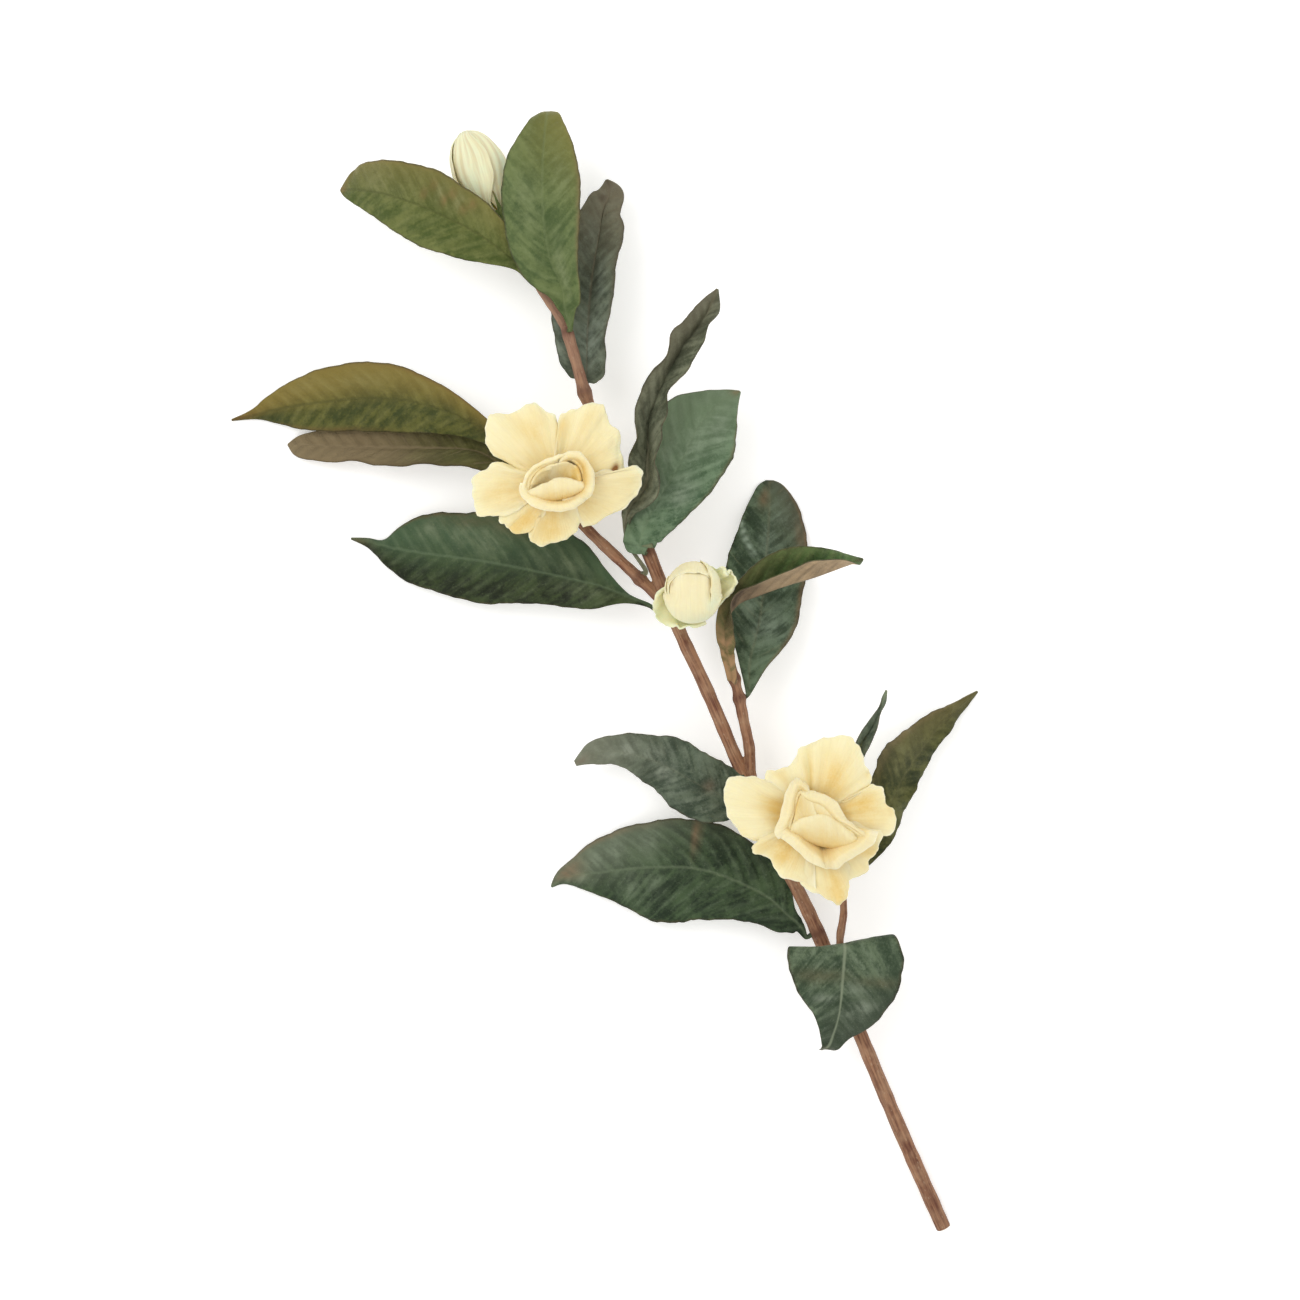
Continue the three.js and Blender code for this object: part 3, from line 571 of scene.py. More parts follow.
SEAT_GAP = 0.3  # clearance between a leaf stalk and the wood
PETIOLE_RISE = 3  # how far a leaf stalk stands off the wood before it bends away
PETIOLE_SHARE = 0.18  # part of a leaf's length where the stalk thins into the blade
BLADE_ARCH = math.radians(15)  # bend of each half of a blade between rib and margin
LEAF_CELLS = (130, 44)
VEIN_SLANT = 0.75  # how far a side vein has run along the blade, per distance from the rib
VEIN_BEND = 14.0  # the same per square of that distance, in metres
MARGIN_WAVES = ((47, 1, 0), (21, 0.7, 1), (9.3, 0.5, -1), (5.1, 0.35, 2))  # mm, height, skew
UNEVENNESS = 0.014  # how far those waves move the margin, as a share of the half width
WAVE_LENGTH = 36.0  # from crest to crest of a wavy edge
WAVE_HEIGHT = 0.9
SHORT_WAVE = (0.53, 0.45)  # length and height of a second wave, as shares of the first
FULL_PUFF = 15  # half width from which a blade swells in full between its veins
PUFF_CHANGE = 0.35  # how much the swellings of one blade differ
SWAY = 0.8  # how far a blade as a whole bends up and down
DIMPLE = 0.22  # depth of the small dents
DIMPLE_SPANS = (3.9, 3.3, 6.1)  # their lengths, over 2 pi
THIN_TIP = 0.4  # share of its thickness that a blade loses towards its tip


def axil(stalk, y, towards):
    """Where a leaf leaves its stalk: on the skin at height y, on the side facing the leaf."""
    u = np.linspace(0, 1, 501)
    points, runs = path_point(stalk, u)
    place = int(np.argmax(points[:, 1] >= y))
    point, run = points[place], runs[place]
    out = np.array(towards, float) - point
    out = unit(out - run * out.dot(run))
    skin = point + out * (blend(stalk, u[place : place + 1])[0, 3] + SEAT_GAP)
    bend = skin + out * PETIOLE_RISE
    return skin, bend


def whole_rows(leaf):
    start = axil(leaf.stalk, leaf.y, leaf.rows[0][:3])
    return [*((*p, leaf.foot, leaf.foot, 0, 0) for p in start), *leaf.rows]


def marks(spots, share, v):
    """Soft spots on a blade, each with its place, reach and strength."""
    total = np.zeros_like(share)
    for s, across, reach_s, reach_v, strength in spots:
        far = ((share - s) / reach_s) ** 2 + ((v - across) / reach_v) ** 2
        total = np.maximum(total, strength * np.exp(-far))
    return total


def blade_relief(leaf, settings, s, d, v, width, length, turns):
    """How far each point of a blade stands off its smooth form."""
    part = np.abs(v)
    spacing = settings.vein_spacing / MM
    phase = (s - VEIN_SLANT * d - VEIN_BEND * MM * d**2) / spacing + np.where(v > 0, 0.5, 0)
    swell = np.sin(math.pi * phase) ** 2 * smooth(part, 0.03, 0.3) * (1 - part**3)
    change = PUFF_CHANGE * np.sin(s * 0.21 + turns[6]) * np.sin(3 * v + turns[7])
    swell = swell * (1 - PUFF_CHANGE + change)
    puff = settings.puff / MM * swell * np.clip(width / FULL_PUFF, 0.2, 1)

    side_turn = np.where(v > 0, turns[2], turns[3])
    shorter, lower = SHORT_WAVE
    wave = np.sin(2 * math.pi * s / WAVE_LENGTH + side_turn)
    wave = wave + lower * np.sin(2 * math.pi * s / (shorter * WAVE_LENGTH) + 2 * side_turn)
    wave = leaf.wave * WAVE_HEIGHT * wave * part**2.2

    bend = SWAY * np.sin(2.3 * s / length * math.pi + turns[4]) * np.sin(v * 2.1 + turns[5])
    a, b, c = DIMPLE_SPANS
    dents = DIMPLE * np.sin(s / a + 5 * v + turns[1]) * np.sin(d / b - s / c + turns[2])
    bend = bend + dents * smooth(part, 0.05, 0.3)
    return puff + wave + bend * leaf.wave


def leaf_points(name, leaf, u, v, settings):
    """Points, thicknesses and the two vectors of a leaf that its materials read."""
    rows = whole_rows(leaf)
    row = blend(rows, u)
    point, run = path_point(rows, u)
    chord = np.array(rows[-1][:3]) - np.array(rows[0][:3])
    left = unit(np.array(leaf.across or np.cross(UP, [chord[0], chord[1], 0]), float))
    side = unit(left - run * (run @ left)[:, None])
    face = np.cross(run, side)
    part = np.abs(v)
    width = np.where(v > 0, row[:, 3], row[:, 4])
    rise = np.radians(np.where(v > 0, row[:, 5], row[:, 6]))
    steep, slope = rise + BLADE_ARCH / 2, rise + BLADE_ARCH * (0.5 - part)

    steps, run_length = along_path(rows)
    base = run_length[np.searchsorted(steps, 2 / (len(rows) - 1))]
    length = run_length[-1] - base
    s, d = np.interp(u, steps, run_length) - base, part * width
    share = s / length
    body = smooth(share, 0.02, 0.16) * smooth(1 - share, 0.0, 0.12)

    turns = dice(name).uniform(0, 2 * math.pi, 8)
    starts = (np.where(v > 0, turns[2], turns[3]), turns[0], turns[1], turns[6])
    uneven = sum(
        height * np.sin(2 * math.pi * s / span + start + skew * v)
        for (span, height, skew), start in zip(MARGIN_WAVES, starts)
    )
    width = width * (1 + UNEVENNESS * leaf.wave * body * uneven)
    reach = np.sign(v) * width * (np.sin(steep) - np.sin(slope)) / BLADE_ARCH
    lift = width * (np.cos(slope) - np.cos(steep)) / BLADE_ARCH
    point = point + side * reach[:, None] + face * lift[:, None]
    tilt = np.where(v == 0, 1, np.cos(slope))[:, None]
    lean = (-np.sign(v) * np.sin(slope))[:, None]
    normal = face * tilt + side * lean

    move = body * blade_relief(leaf, settings, s, d, v, width, length, turns)
    point = point + normal * move[:, None]
    point[:, 2] = np.maximum(point[:, 2], FLOOR_CLEARANCE)

    thin = smooth(u, 0, PETIOLE_SHARE)
    rib = settings.rib / MM
    sheet = rib + (settings.margin / MM - rib) * part**0.5
    thickness = PETIOLE * PETIOLE_DEPTH * (1 - thin) + sheet * thin
    thickness *= 1 - THIN_TIP * smooth(share, 0.6, 1)

    a, b, c = leaf.wash
    tint = np.stack(
        [
            smooth(a * share + b * v + c, -0.15, 0.45),
            marks(leaf.pale, share, v),
            marks(leaf.worn, share, v),
        ],
        axis=1,
    )
    blade = np.stack([s * MM, d * MM, v], axis=1)
    return point, thickness, {"blade": blade, "tint": tint}


# ---- Petals ----------------------------------------------------------------------------------

# The ways a petal rises from its claw to its edge. Each row holds the share of the way out,
# mm further out, the share of the climb, mm of rise, and the share of the belly.
SPREAD = (
    (0.06, 0, 0, 0, 0), (0.2, 0, 0.15, 3.2, 0.2), (0.4, 0, 0.45, 5.2, 0.7), (0.62, 0, 0.75, 4.4, 1),
    (0.84, 0, 0.95, 2.2, 0.6), (0.96, 0, 1, 0.6, 0.1), (1, 0, 1, -0.8, 0),
)
CUP = (
    (0.12, 0, 0, 0, 0), (0.52, 0, 0.12, 0, 0.5), (0.78, 0, 0.5, 0, 1), (0.92, 0, 0.86, 0, 0.6),
    (1, 0.2, 1, 0, 0.1), (1, 1.5, 1, 0.2, 0), (1, 2.8, 1, -0.5, 0), (1, 3.7, 1, -2, 0),
)
SHOULDER = (
    (0.12, 0, 0, 0, 0), (0.5, 0, 0.14, 0, 0.5), (0.74, 0, 0.5, 0, 1), (0.9, 0, 0.84, 0, 0.6),
    (1, 0, 0.98, 0, 0.1), (1, 1.1, 1, 0.1, 0), (1, 2.5, 1, -0.9, 0), (1, 4, 1, -3, 0),
    (1, 4.8, 1, -5, 0),
)
FOLD = (
    (0.1, 0, 0, 0, 0), (0.55, 0, 0.15, 0, 0.6), (0.86, 0, 0.6, 0, 1), (0.98, 0, 0.93, 0, 0.3),
    (1, 0.7, 1, 0.1, 0), (1, 1.7, 1, -0.8, 0),
)
BOWL = (
    (0.04, 0, 0, 0, 0), (0.06, 0, 0.5, 0, 0), (0.26, 0, 0.64, 0, 0), (0.56, 0, 0.72, 0, 0.6),
    (0.84, 0, 0.88, 0, 1), (0.98, 0, 1, 0, 0.2), (1, 0.5, 1, -0.5, 0),
)
CUSHION = (
    (0.06, 0, 0.84, 0, 0), (0.3, 0, 0.9, 0, 0), (0.6, 0, 0.96, 0, 0), (0.88, 0, 1, 0, 0),
    (1, 0, 1, 0, 0), (1, 0.5, 0.95, 0, 0),
)
LID = (
    (0.1, 0, 0, 0, 0.1), (0.7, 0, 0.3, 0, 0.95), (0.92, 0, 0.68, 0, 1), (0.98, 0, 0.9, 0.3, 0.78),
    (1, 0, 1, 0.7, 0.4), (1, 0, 1, 0.2, 0), (1, 0.6, 1, -1.2, -0.06),
)
LOBE = (
    (0.1, 0, 0, 0, 0), (0.45, 0, 0.05, 0, 0), (0.75, 0, 0.35, 0.4, 0), (0.93, 0, 0.85, 0.6, 0),
    (1, 0, 1, -0.3, 0),
)

# The half-open bud is a ball a little longer than wide.
BUD_MIDDLE = (1.4, 1.0, 12.4)
BUD_OVAL = 1.1
BUD_FOOT = 158  # degrees from its top down to where its petals start
BUD_STEPS = ((0, 0), (0.22, 0), (0.45, 0), (0.7, 0), (0.9, 0), (0.97, 0.1), (1, 0.4))
HOOD_END = 51  # degrees that the innermost petal runs past the top
HOOD_HALF = 80  # half its width in degrees
HOOD_FLAP = (-0.75, -0.1)  # radians from the top, between which its flap sinks to its crown

# The closed bud is a spindle: its radius and height from foot to tip.
SPINDLE = ((1.5, 0.4), (7.5, 8), (12.5, 20), (12.2, 30), (8.8, 38.2), (4.6, 42.4), (0.6, 44.2))
SPINDLE_TWIST = 1.0  # mm that a petal's side edges lie in or out for each radian round the bud
SPINDLE_SWIRL = 0.9  # radians that its petals turn round it from foot to tip
POINTED = (0.05, 0.36, 0.86, 1, 0.85, 0.46, 0.14)  # share of a petal's half width, foot to tip
MOST_WRAP = 2.4  # the most, in radians, that half a petal's width goes round its bud
TWIST_START = 0.25  # part of a petal's length where its overlap twist grows to full
WRAP_ROWS = 9


@dataclass
class Petal:
    """A petal, drawn by its free edge, anticlockwise as seen from the sky.

    Each point of the edge is so far right of the flower's middle, up the spray and above the
    flower's foot. `belly` pushes the middle of the petal aside. Each mark holds u, v, its
    reach along and across, and its strength, which is in mm for a dent.
    """

    edge: list = ()
    form: tuple = SPREAD
    claw: tuple = (0, 0, 2)
    belly: tuple = (0, 0, 0)
    # Ochre marks: partly the petal's own yellowing, partly painted shade in its valleys and bowl.
    ochre_and_shade: list = ()
    blush: list = ()
    # Brown marks: dried spots, and in places painted shade.
    brown_and_shade: list = ()
    dents: list = ()

    def net(self):
        """Rows of points from the petal's claw to its free edge."""
        edge, claw, belly = (np.array(x, float) for x in (self.edge, self.claw, self.belly))
        reach = edge - claw
        out = unit(reach * (1, 1, 0))
        swell = (1 - np.linspace(-1, 1, len(edge)) ** 2)[:, None] * belly
        rows = []
        for share, further, climb, rise, lean in self.form:
            row = claw + reach * (share, share, climb) + out * further + UP * rise
            rows.append(row + swell * lean)
        return np.array(rows)


@dataclass
class RoundPetal(Petal):
    """A petal of the round bud. Its edge holds degrees round the bud and from its top."""

    radius: float = 14.0

    def net(self):
        around, top = np.radians(self.edge).T
        foot = math.radians(BUD_FOOT)
        rows = []
        for share, grow in BUD_STEPS:
            fall = foot + (top - foot) * share
            side = (self.radius + grow) * np.sin(fall)
            height = (self.radius + grow) * np.cos(fall)
            rows.append(np.stack([side * np.cos(around), BUD_OVAL * side * np.sin(around), height], 1))
        return np.array(rows) + BUD_MIDDLE


@dataclass
class HoodPetal(Petal):
    """The innermost petal of a round bud, which runs up one side and over the top."""

    radius: float = 12.8
    flap: float = 1.9

    def net(self):
        across = np.radians(np.linspace(-HOOD_HALF, HOOD_HALF, 9))
        out = np.cos(across)
        rows = []
        for turn in np.radians(np.linspace(-BUD_FOOT, HOOD_END, 19)):
            radius = self.radius + self.flap * (1 - smooth(turn, *HOOD_FLAP))
            row = np.stack([np.sin(across), BUD_OVAL * out * np.sin(turn), out * np.cos(turn)], 1)
            rows.append(row * radius)
        return np.array(rows) + BUD_MIDDLE


@dataclass
class WrappedPetal(Petal):
    """A petal that wraps a long bud, seen along the bud's own axis."""

    azimuth: float = 0.0
    length: float = 49.0
    half_width: float = 16.0

    def net(self):
        steps, run = along_path([(r, h, 0) for r, h in SPINDLE])
        rows = []
        for u in np.linspace(0, 1, WRAP_ROWS):
            radius, height = blend(SPINDLE, np.interp([u * self.length], run, steps))[0]
            half = self.half_width * blend([(w,) for w in POINTED], np.array([u]))[0, 0]
            half = min(half, MOST_WRAP * radius)
            swing = np.linspace(-1, 1, WRAP_ROWS) * half / radius
            turn = math.radians(self.azimuth) + swing + SPINDLE_SWIRL * u
            out = radius + SPINDLE_TWIST * smooth(u, 0, TWIST_START) * swing
            rows.append(np.stack([out * np.cos(turn), out * np.sin(turn), height + 0 * out], 1))
        return np.array(rows)


# Ochre marks of the outer petals: partly their own yellowing, partly painted shade in the valleys near
# the middle.
MIDDLE_OUTER = [
    Petal(
        [
            (3, 21, 5), (2, 28, 6), (-0.5, 33, 6.5), (-5, 37, 6.5), (-10, 39.8, 6), (-14, 39.8, 6),
            (-20, 37.2, 6.5), (-28, 36.5, 7.5), (-33.6, 34.6, 8), (-34.6, 28, 6), (-35.6, 21, 4.5),
            (-29.5, 15, 4), (-22, 8.5, 3.5),
        ],
        ochre_and_shade=[(0.55, -0.1, 0.3, 0.3, 0.5), (0.75, 0.75, 0.2, 0.12, 0.3), (0.6, -0.85, 0.3, 0.2, 0.5)],
        blush=[(0.98, -0.2, 0.12, 0.4, 0.6), (0.98, -0.7, 0.1, 0.2, 0.5)],
        dents=[(0.7, -0.55, 0.35, 0.1, 1.3), (0.8, 0.15, 0.3, 0.14, 1.0)],
    ),
    Petal(
        [
            (35, 6.5, 4), (34, 12, 5), (32.4, 19, 5), (31.8, 25.5, 6.5), (28.2, 30, 7),
            (25.8, 36, 8), (23.4, 40, 8), (19, 39.6, 7.5), (14.5, 40.4, 7), (9.5, 38.2, 7),
            (5, 36.5, 8), (2, 34, 8), (0.5, 29, 8.5), (-1, 22, 8),
        ],
        ochre_and_shade=[(0.55, 0.6, 0.3, 0.22, 0.7), (0.7, 0.0, 0.25, 0.2, 0.3), (0.4, -0.6, 0.2, 0.4, 0.4)],
        blush=[(0.98, 0.05, 0.1, 0.3, 0.7), (0.9, -0.7, 0.2, 0.15, 0.6), (0.4, 0.6, 0.2, 0.2, 0.4)],
        brown_and_shade=[(0.7, -0.93, 0.06, 0.07, 1.6)],
        dents=[(0.7, -0.25, 0.35, 0.1, 1.4), (0.8, 0.5, 0.3, 0.12, 1.0)],
    ),
    Petal(
        [
            (13.5, -21.5, 4), (18, -19.5, 4), (25, -17, 4), (32.5, -14.6, 4), (37.2, -9.3, 5),
            (41.2, -4.5, 7), (43.3, 0.5, 9), (43.2, 5, 11), (41, 8.6, 11.5), (37.5, 8.2, 11),
            (34, 5.4, 9.5), (30, 6.8, 8.5), (25.5, 7.6, 7),
        ],
        ochre_and_shade=[(0.65, -0.2, 0.2, 0.4, 0.35), (0.5, -0.7, 0.3, 0.3, 0.5)],
        blush=[(0.95, 0.4, 0.1, 0.35, 0.6)], brown_and_shade=[(0.97, 0.98, 0.08, 0.06, 0.8)],
        dents=[(0.7, 0.3, 0.4, 0.1, 1.5), (0.75, -0.45, 0.3, 0.14, 1.1)],
    ),
    Petal(
        [
            (-6, -15, 7), (-9, -20, 6), (-12, -25, 4.5), (-13, -28.6, 4), (-9.5, -31, 3.5),
            (-4, -30.2, 3.5), (1.5, -28.8, 4), (6, -27.6, 4), (10, -25, 4), (11, -20.5, 5),
            (13, -14, 6),
        ],
        ochre_and_shade=[(0.6, 0.0, 0.3, 0.6, 0.8), (0.9, 0.3, 0.1, 0.3, 0.3)],
        blush=[(0.95, -0.4, 0.08, 0.3, 0.3)], dents=[(0.75, 0.1, 0.3, 0.15, 1.2)],
    ),
    Petal(
        [
            (-26, -13, 5), (-28.6, -16.8, 5), (-27.6, -19, 5), (-25.4, -20, 5), (-25, -23, 5),
            (-20.5, -24.6, 5), (-14.5, -24, 5), (-10.2, -21, 6), (-6.5, -16.5, 7),
        ],
        ochre_and_shade=[(0.7, 0.3, 0.4, 0.5, 1.0)], blush=[(1, -0.6, 0.05, 0.3, 0.3)],
        dents=[(0.75, 0.0, 0.3, 0.15, 0.9)],
    ),
    Petal(
        [
            (-21, 10, 4), (-26.5, 10.2, 5), (-31, 10, 6), (-35.4, 8.4, 6), (-39, 5.4, 6),
            (-41.6, 1.5, 6), (-41.8, -3.5, 5.5), (-42.6, -8.5, 5.5), (-41.2, -13, 6),
            (-37.8, -15.7, 6), (-32, -16, 7), (-26.5, -15.6, 7), (-21, -14, 7),
        ],
        ochre_and_shade=[(0.5, 0.2, 0.2, 0.5, 0.6)],
        blush=[(0.95, -0.1, 0.1, 0.3, 0.5), (0.97, 0.7, 0.06, 0.3, 0.4)],
        dents=[(0.7, 0.25, 0.35, 0.12, 1.3), (0.75, -0.4, 0.3, 0.12, 1.1)],
    ),
]
# The first ring petal's ochre and brown marks are painted shade on its shaded inner wall; the last one's
# brown mark is painted shadow under the tip of the lid.
MIDDLE_RING = [
    Petal([
        (5, -9.5, 16.5), (10.5, -7, 18.5), (14.2, -4, 19.8), (15.4, 0.5, 20.6), (15, 5.5, 21.2),
        (13.4, 10, 21.5), (10, 13, 21.5), (5.6, 13, 21), (1.5, 10.5, 18.5),
    ], CUP, ochre_and_shade=[(0.5, 0.1, 0.2, 0.6, 1.0)], brown_and_shade=[(0.42, 0.1, 0.16, 0.4, 0.15)]),
    Petal([
        (8, 12, 17.5), (3, 13.6, 19.4), (-1.5, 11.4, 20), (-6, 10, 20), (-10.5, 7.6, 20),
        (-13.8, 3.8, 19.6), (-15.2, -1, 19.2), (-14.6, -5.5, 17.5),
    ], FOLD),
    Petal([
        (-14.4, 0.5, 17), (-14.8, -3.5, 19), (-12.4, -6.4, 20.2), (-8, -8.6, 20.8), (-3, -10, 20.8),
        (2, -10.2, 20.6), (6.5, -9.2, 20.2), (10.8, -6.8, 19.2), (14, -4, 17.5),
    ], CUP),
    Petal([(3, -7.6, 14.5), (8, -6.8, 16.2), (11.8, -4.8, 17.4), (13.6, -2, 17.8), (13.8, 2, 17)],
          FOLD, brown_and_shade=[(0.6, 0, 0.3, 0.6, 0.4)]),
]
# The first inner petal's ochre and brown marks are painted shade on the bowl's deep right wall.
MIDDLE_INNER = [
    Petal([
        (13.2, -4, 15), (13.8, 0, 17.5), (13.3, 4.6, 18.8), (11.6, 8.8, 19.2), (8, 11.8, 19),
        (4, 11.6, 17.5),
    ], FOLD, (3, 0, 3), ochre_and_shade=[(0.6, 0, 0.5, 0.9, 1.0)], brown_and_shade=[(0.5, -0.2, 0.25, 0.5, 0.15)]),
    Petal([
        (2, 11, 17), (-3, 9.8, 18.4), (-7.5, 7.8, 18.6), (-11.4, 4.2, 18.4), (-13.2, -0.5, 17.8),
        (-13, -4.5, 16.5),
    ], FOLD, (-2, -1, 3), ochre_and_shade=[(0.6, 0, 0.3, 0.9, 0.6)]),
    Petal(
        [
            (16, -1.8, 17), (13.4, 0.4, 18.4), (8, 1.6, 19), (2, 1.8, 19.2), (-3.5, 0.6, 19.2),
            (-8, -1.2, 19), (-13.4, -3.6, 18.2), (-17, -4.8, 16.8),
        ],
        LID, (0.5, -3, 3), (0.5, -9.5, 0), ochre_and_shade=[(0.45, -0.1, 0.25, 0.6, 0.4)],
        dents=[(0.75, 0.2, 0.3, 0.1, 0.5)],
    ),
]
# Ochre marks of the heart petals: painted shade in the deep bowl, over their own yellowing.
MIDDLE_HEART = [
    Petal([
        (11.8, -1.6, 17), (11.6, 3.6, 18.2), (9.9, 8.6, 18.7), (5.4, 10.9, 18.7), (-0.5, 9.9, 18.5),
        (-5, 8.3, 18.2), (-8, 5.4, 17.6),
    ], BOWL, (0.5, -3, 3), ochre_and_shade=[(0.7, -0.5, 0.5, 0.6, 1.2)], dents=[(0.8, -0.2, 0.3, 0.15, 0.7)]),
    Petal([
        (-2, 8.4, 17.4), (-6.5, 7.2, 18.2), (-10.6, 3.8, 18.3), (-12.5, -0.5, 18),
        (-12.4, -4.5, 17.4), (-9, -7, 16.8),
    ], BOWL, (-2, -3, 3), ochre_and_shade=[(0.7, -0.2, 0.5, 1, 0.5)], dents=[(0.75, 0.3, 0.3, 0.15, 0.5)]),
]

# Ochre marks of the outer petals: partly their own yellowing, partly painted shade in the valleys near
# the middle.
LOWER_OUTER = [
    Petal(
        [
            (-20, 19, 5), (-27, 21, 6), (-34, 21, 7), (-40, 20.4, 8), (-44.4, 17.6, 8),
            (-45.8, 12, 7), (-44.4, 5, 6), (-42.2, -1, 6), (-39, -5.6, 6), (-33, -9, 6),
            (-26, -10, 5),
        ],
        ochre_and_shade=[(0.34, 0.0, 0.14, 0.9, 0.8), (0.85, 0.75, 0.15, 0.2, 0.4)],
        blush=[(0.97, -0.2, 0.06, 0.6, 0.3)],
        dents=[(0.34, -0.1, 0.16, 0.9, 1.6), (0.75, 0.45, 0.3, 0.12, 1.2)],
    ),
    Petal(
        [
            (25, 15.5, 6), (28.6, 19.5, 7.5), (29, 24, 8), (25.2, 26.6, 8.5), (23.6, 33, 9),
            (22.2, 38, 9), (19, 41.2, 9), (13, 41.8, 8.5), (6, 40.8, 8), (0, 39, 8.5),
            (-5.6, 37, 7), (-8, 32.5, 6.5), (-12, 27.4, 7), (-18, 25.4, 7), (-23, 24, 6),
            (-24, 18.5, 5),
        ],
        ochre_and_shade=[
            (0.5, 0.3, 0.3, 0.09, 1.0), (0.4, -0.3, 0.2, 0.5, 0.8), (0.7, 0.75, 0.25, 0.1, 0.4),
            (0.8, -0.75, 0.2, 0.08, 0.4),
        ],
        blush=[(0.97, 0.2, 0.08, 0.3, 0.4), (0.6, 0.32, 0.3, 0.06, 0.5)],
        dents=[(0.6, 0.3, 0.35, 0.08, 2.2), (0.8, -0.72, 0.25, 0.06, 1.4), (0.8, -0.1, 0.2, 0.1, 1)],
    ),
    Petal(
        [
            (34, -8, 5), (39.4, -4.6, 7), (41.3, 0.5, 8), (40.6, 5, 8), (37.2, 8.6, 8),
            (35.2, 12.5, 8.5), (33.6, 16.2, 8.5), (29.6, 17.4, 8.5), (25, 15.2, 8), (20, 16.5, 7.5),
        ],
        ochre_and_shade=[(0.5, 0.0, 0.25, 0.8, 1.0), (0.8, -0.3, 0.15, 0.3, 0.5)],
        dents=[(0.5, 0.2, 0.2, 0.6, 1.4), (0.8, -0.2, 0.25, 0.12, 1.2)],
    ),
    Petal(
        [
            (16, -33, 4), (21, -29.4, 5), (25.8, -26, 6), (28.2, -21, 6.5), (31.8, -17.2, 7),
            (33.2, -13, 7), (33.6, -7, 7), (37, -2, 7),
        ],
        ochre_and_shade=[(0.7, 0.0, 0.3, 0.5, 0.7)], brown_and_shade=[(0.99, -0.5, 0.04, 0.2, 0.25)],
        dents=[(0.8, 0.4, 0.25, 0.12, 1.2)],
    ),
    Petal(
        [
            (-7, -30, 4), (-4, -34.6, 5), (1.5, -37.4, 5), (6.5, -41, 4.5), (11.5, -43, 4.5),
            (15.6, -41, 5), (17.4, -36, 5.5), (18.4, -31, 5.5), (21, -27, 5),
        ],
        ochre_and_shade=[(0.72, 0.1, 0.3, 0.5, 1.0), (0.9, 0.1, 0.12, 0.08, 0.8)],
        dents=[(0.8, -0.1, 0.3, 0.12, 1.4)],
    ),
    Petal(
        [
            (-27, -7, 6), (-28.8, -11.4, 7), (-31.8, -15, 7.5), (-30, -17.4, 7), (-25.4, -17.6, 6),
            (-22.2, -21.6, 6), (-19, -26.2, 6), (-15, -29.2, 6), (-9, -30, 6), (-4, -33, 6),
            (1, -36, 6),
        ],
        ochre_and_shade=[(0.55, 0.0, 0.25, 0.7, 1.0), (0.85, 0.5, 0.1, 0.3, 0.4)],
        blush=[(0.98, -0.4, 0.05, 0.2, 0.3)], dents=[(0.55, 0.0, 0.2, 0.7, 1.5)],
    ),
]
LOWER_RING = [
    Petal([
        (-2, 12, 17), (-6, 16.2, 20), (-8.6, 15.6, 21), (-9.8, 12, 21), (-10.8, 8, 21),
        (-11.6, 3.5, 21), (-13, -1, 20.8), (-14.6, -4.4, 20), (-14, -8, 17.5),
    ], SHOULDER, dents=[(0.85, 0.1, 0.1, 0.5, 0.5)]),
    Petal([
        (25.6, -9.5, 17), (21.4, -5.8, 19.6), (16.4, -2.6, 20.8), (11.8, 0.2, 21.2),
        (8.4, 3.8, 21.4), (5.2, 7, 21.2), (1, 8.6, 20.8), (-3, 9.8, 20.2), (-7, 12.5, 18),
    ], SHOULDER),
    Petal([
        (-13, -2.5, 17.5), (-13.8, -5.6, 19.8), (-9.2, -8.8, 20.8), (-5.4, -12.8, 21),
        (-2, -15.8, 21), (2, -18.8, 20.8), (5, -21, 19.8), (7, -20.4, 16.5), (9.4, -20.6, 19.8),
        (13, -17.8, 21), (17.5, -15.2, 21), (22, -12.6, 20.6), (25.6, -9.6, 19.8), (28, -5.5, 18),
    ], SHOULDER, dents=[(0.7, -0.05, 0.5, 0.06, 1.2)]),
]
# Ochre marks of the inner petals: partly painted shade of the bowl.
LOWER_INNER = [
    Petal([
        (22.6, -13.6, 15.5), (24.4, -9.4, 17.4), (20.2, -5.6, 18.2), (15.4, -2.6, 18.6),
        (11.2, 0.1, 18.8), (7.9, 3.5, 18.9), (4.8, 6.4, 18.8), (0.6, 8.2, 17.6),
    ], BOWL, (3, -5, 6), ochre_and_shade=[(0.6, 0, 0.3, 0.8, 0.15)], dents=[(0.7, 0.1, 0.3, 0.12, 0.5)]),
    Petal([
        (-1, 9.4, 17.4), (-5.4, 13.4, 18.8), (-8, 12.4, 19), (-9.2, 8, 19), (-10.4, 3, 18.8),
        (-12.2, -2, 18.4), (-11.8, -5.5, 17),
    ], BOWL, (-3, 0, 6), ochre_and_shade=[(0.6, 0.1, 0.35, 0.9, 0.9)]),
    Petal(
        [
            (22, -10, 17), (19.4, -7.2, 18.4), (15, -4.4, 19), (10.4, -1.2, 19.4), (6, 1, 19.6),
            (1, 0.8, 19.6), (-5, -0.4, 19.3), (-10, -2.6, 18.6), (-12.4, -6.4, 17),
        ],
        LID, (3, -5, 6), (1.5, -13.5, 0), ochre_and_shade=[(0.45, 0, 0.25, 0.9, 0.5)],
        dents=[(0.7, -0.35, 0.3, 0.12, 0.9), (0.55, 0.25, 0.2, 0.15, 0.6), (0.6, 0.6, 0.2, 0.1, 0.6)],
    ),
]
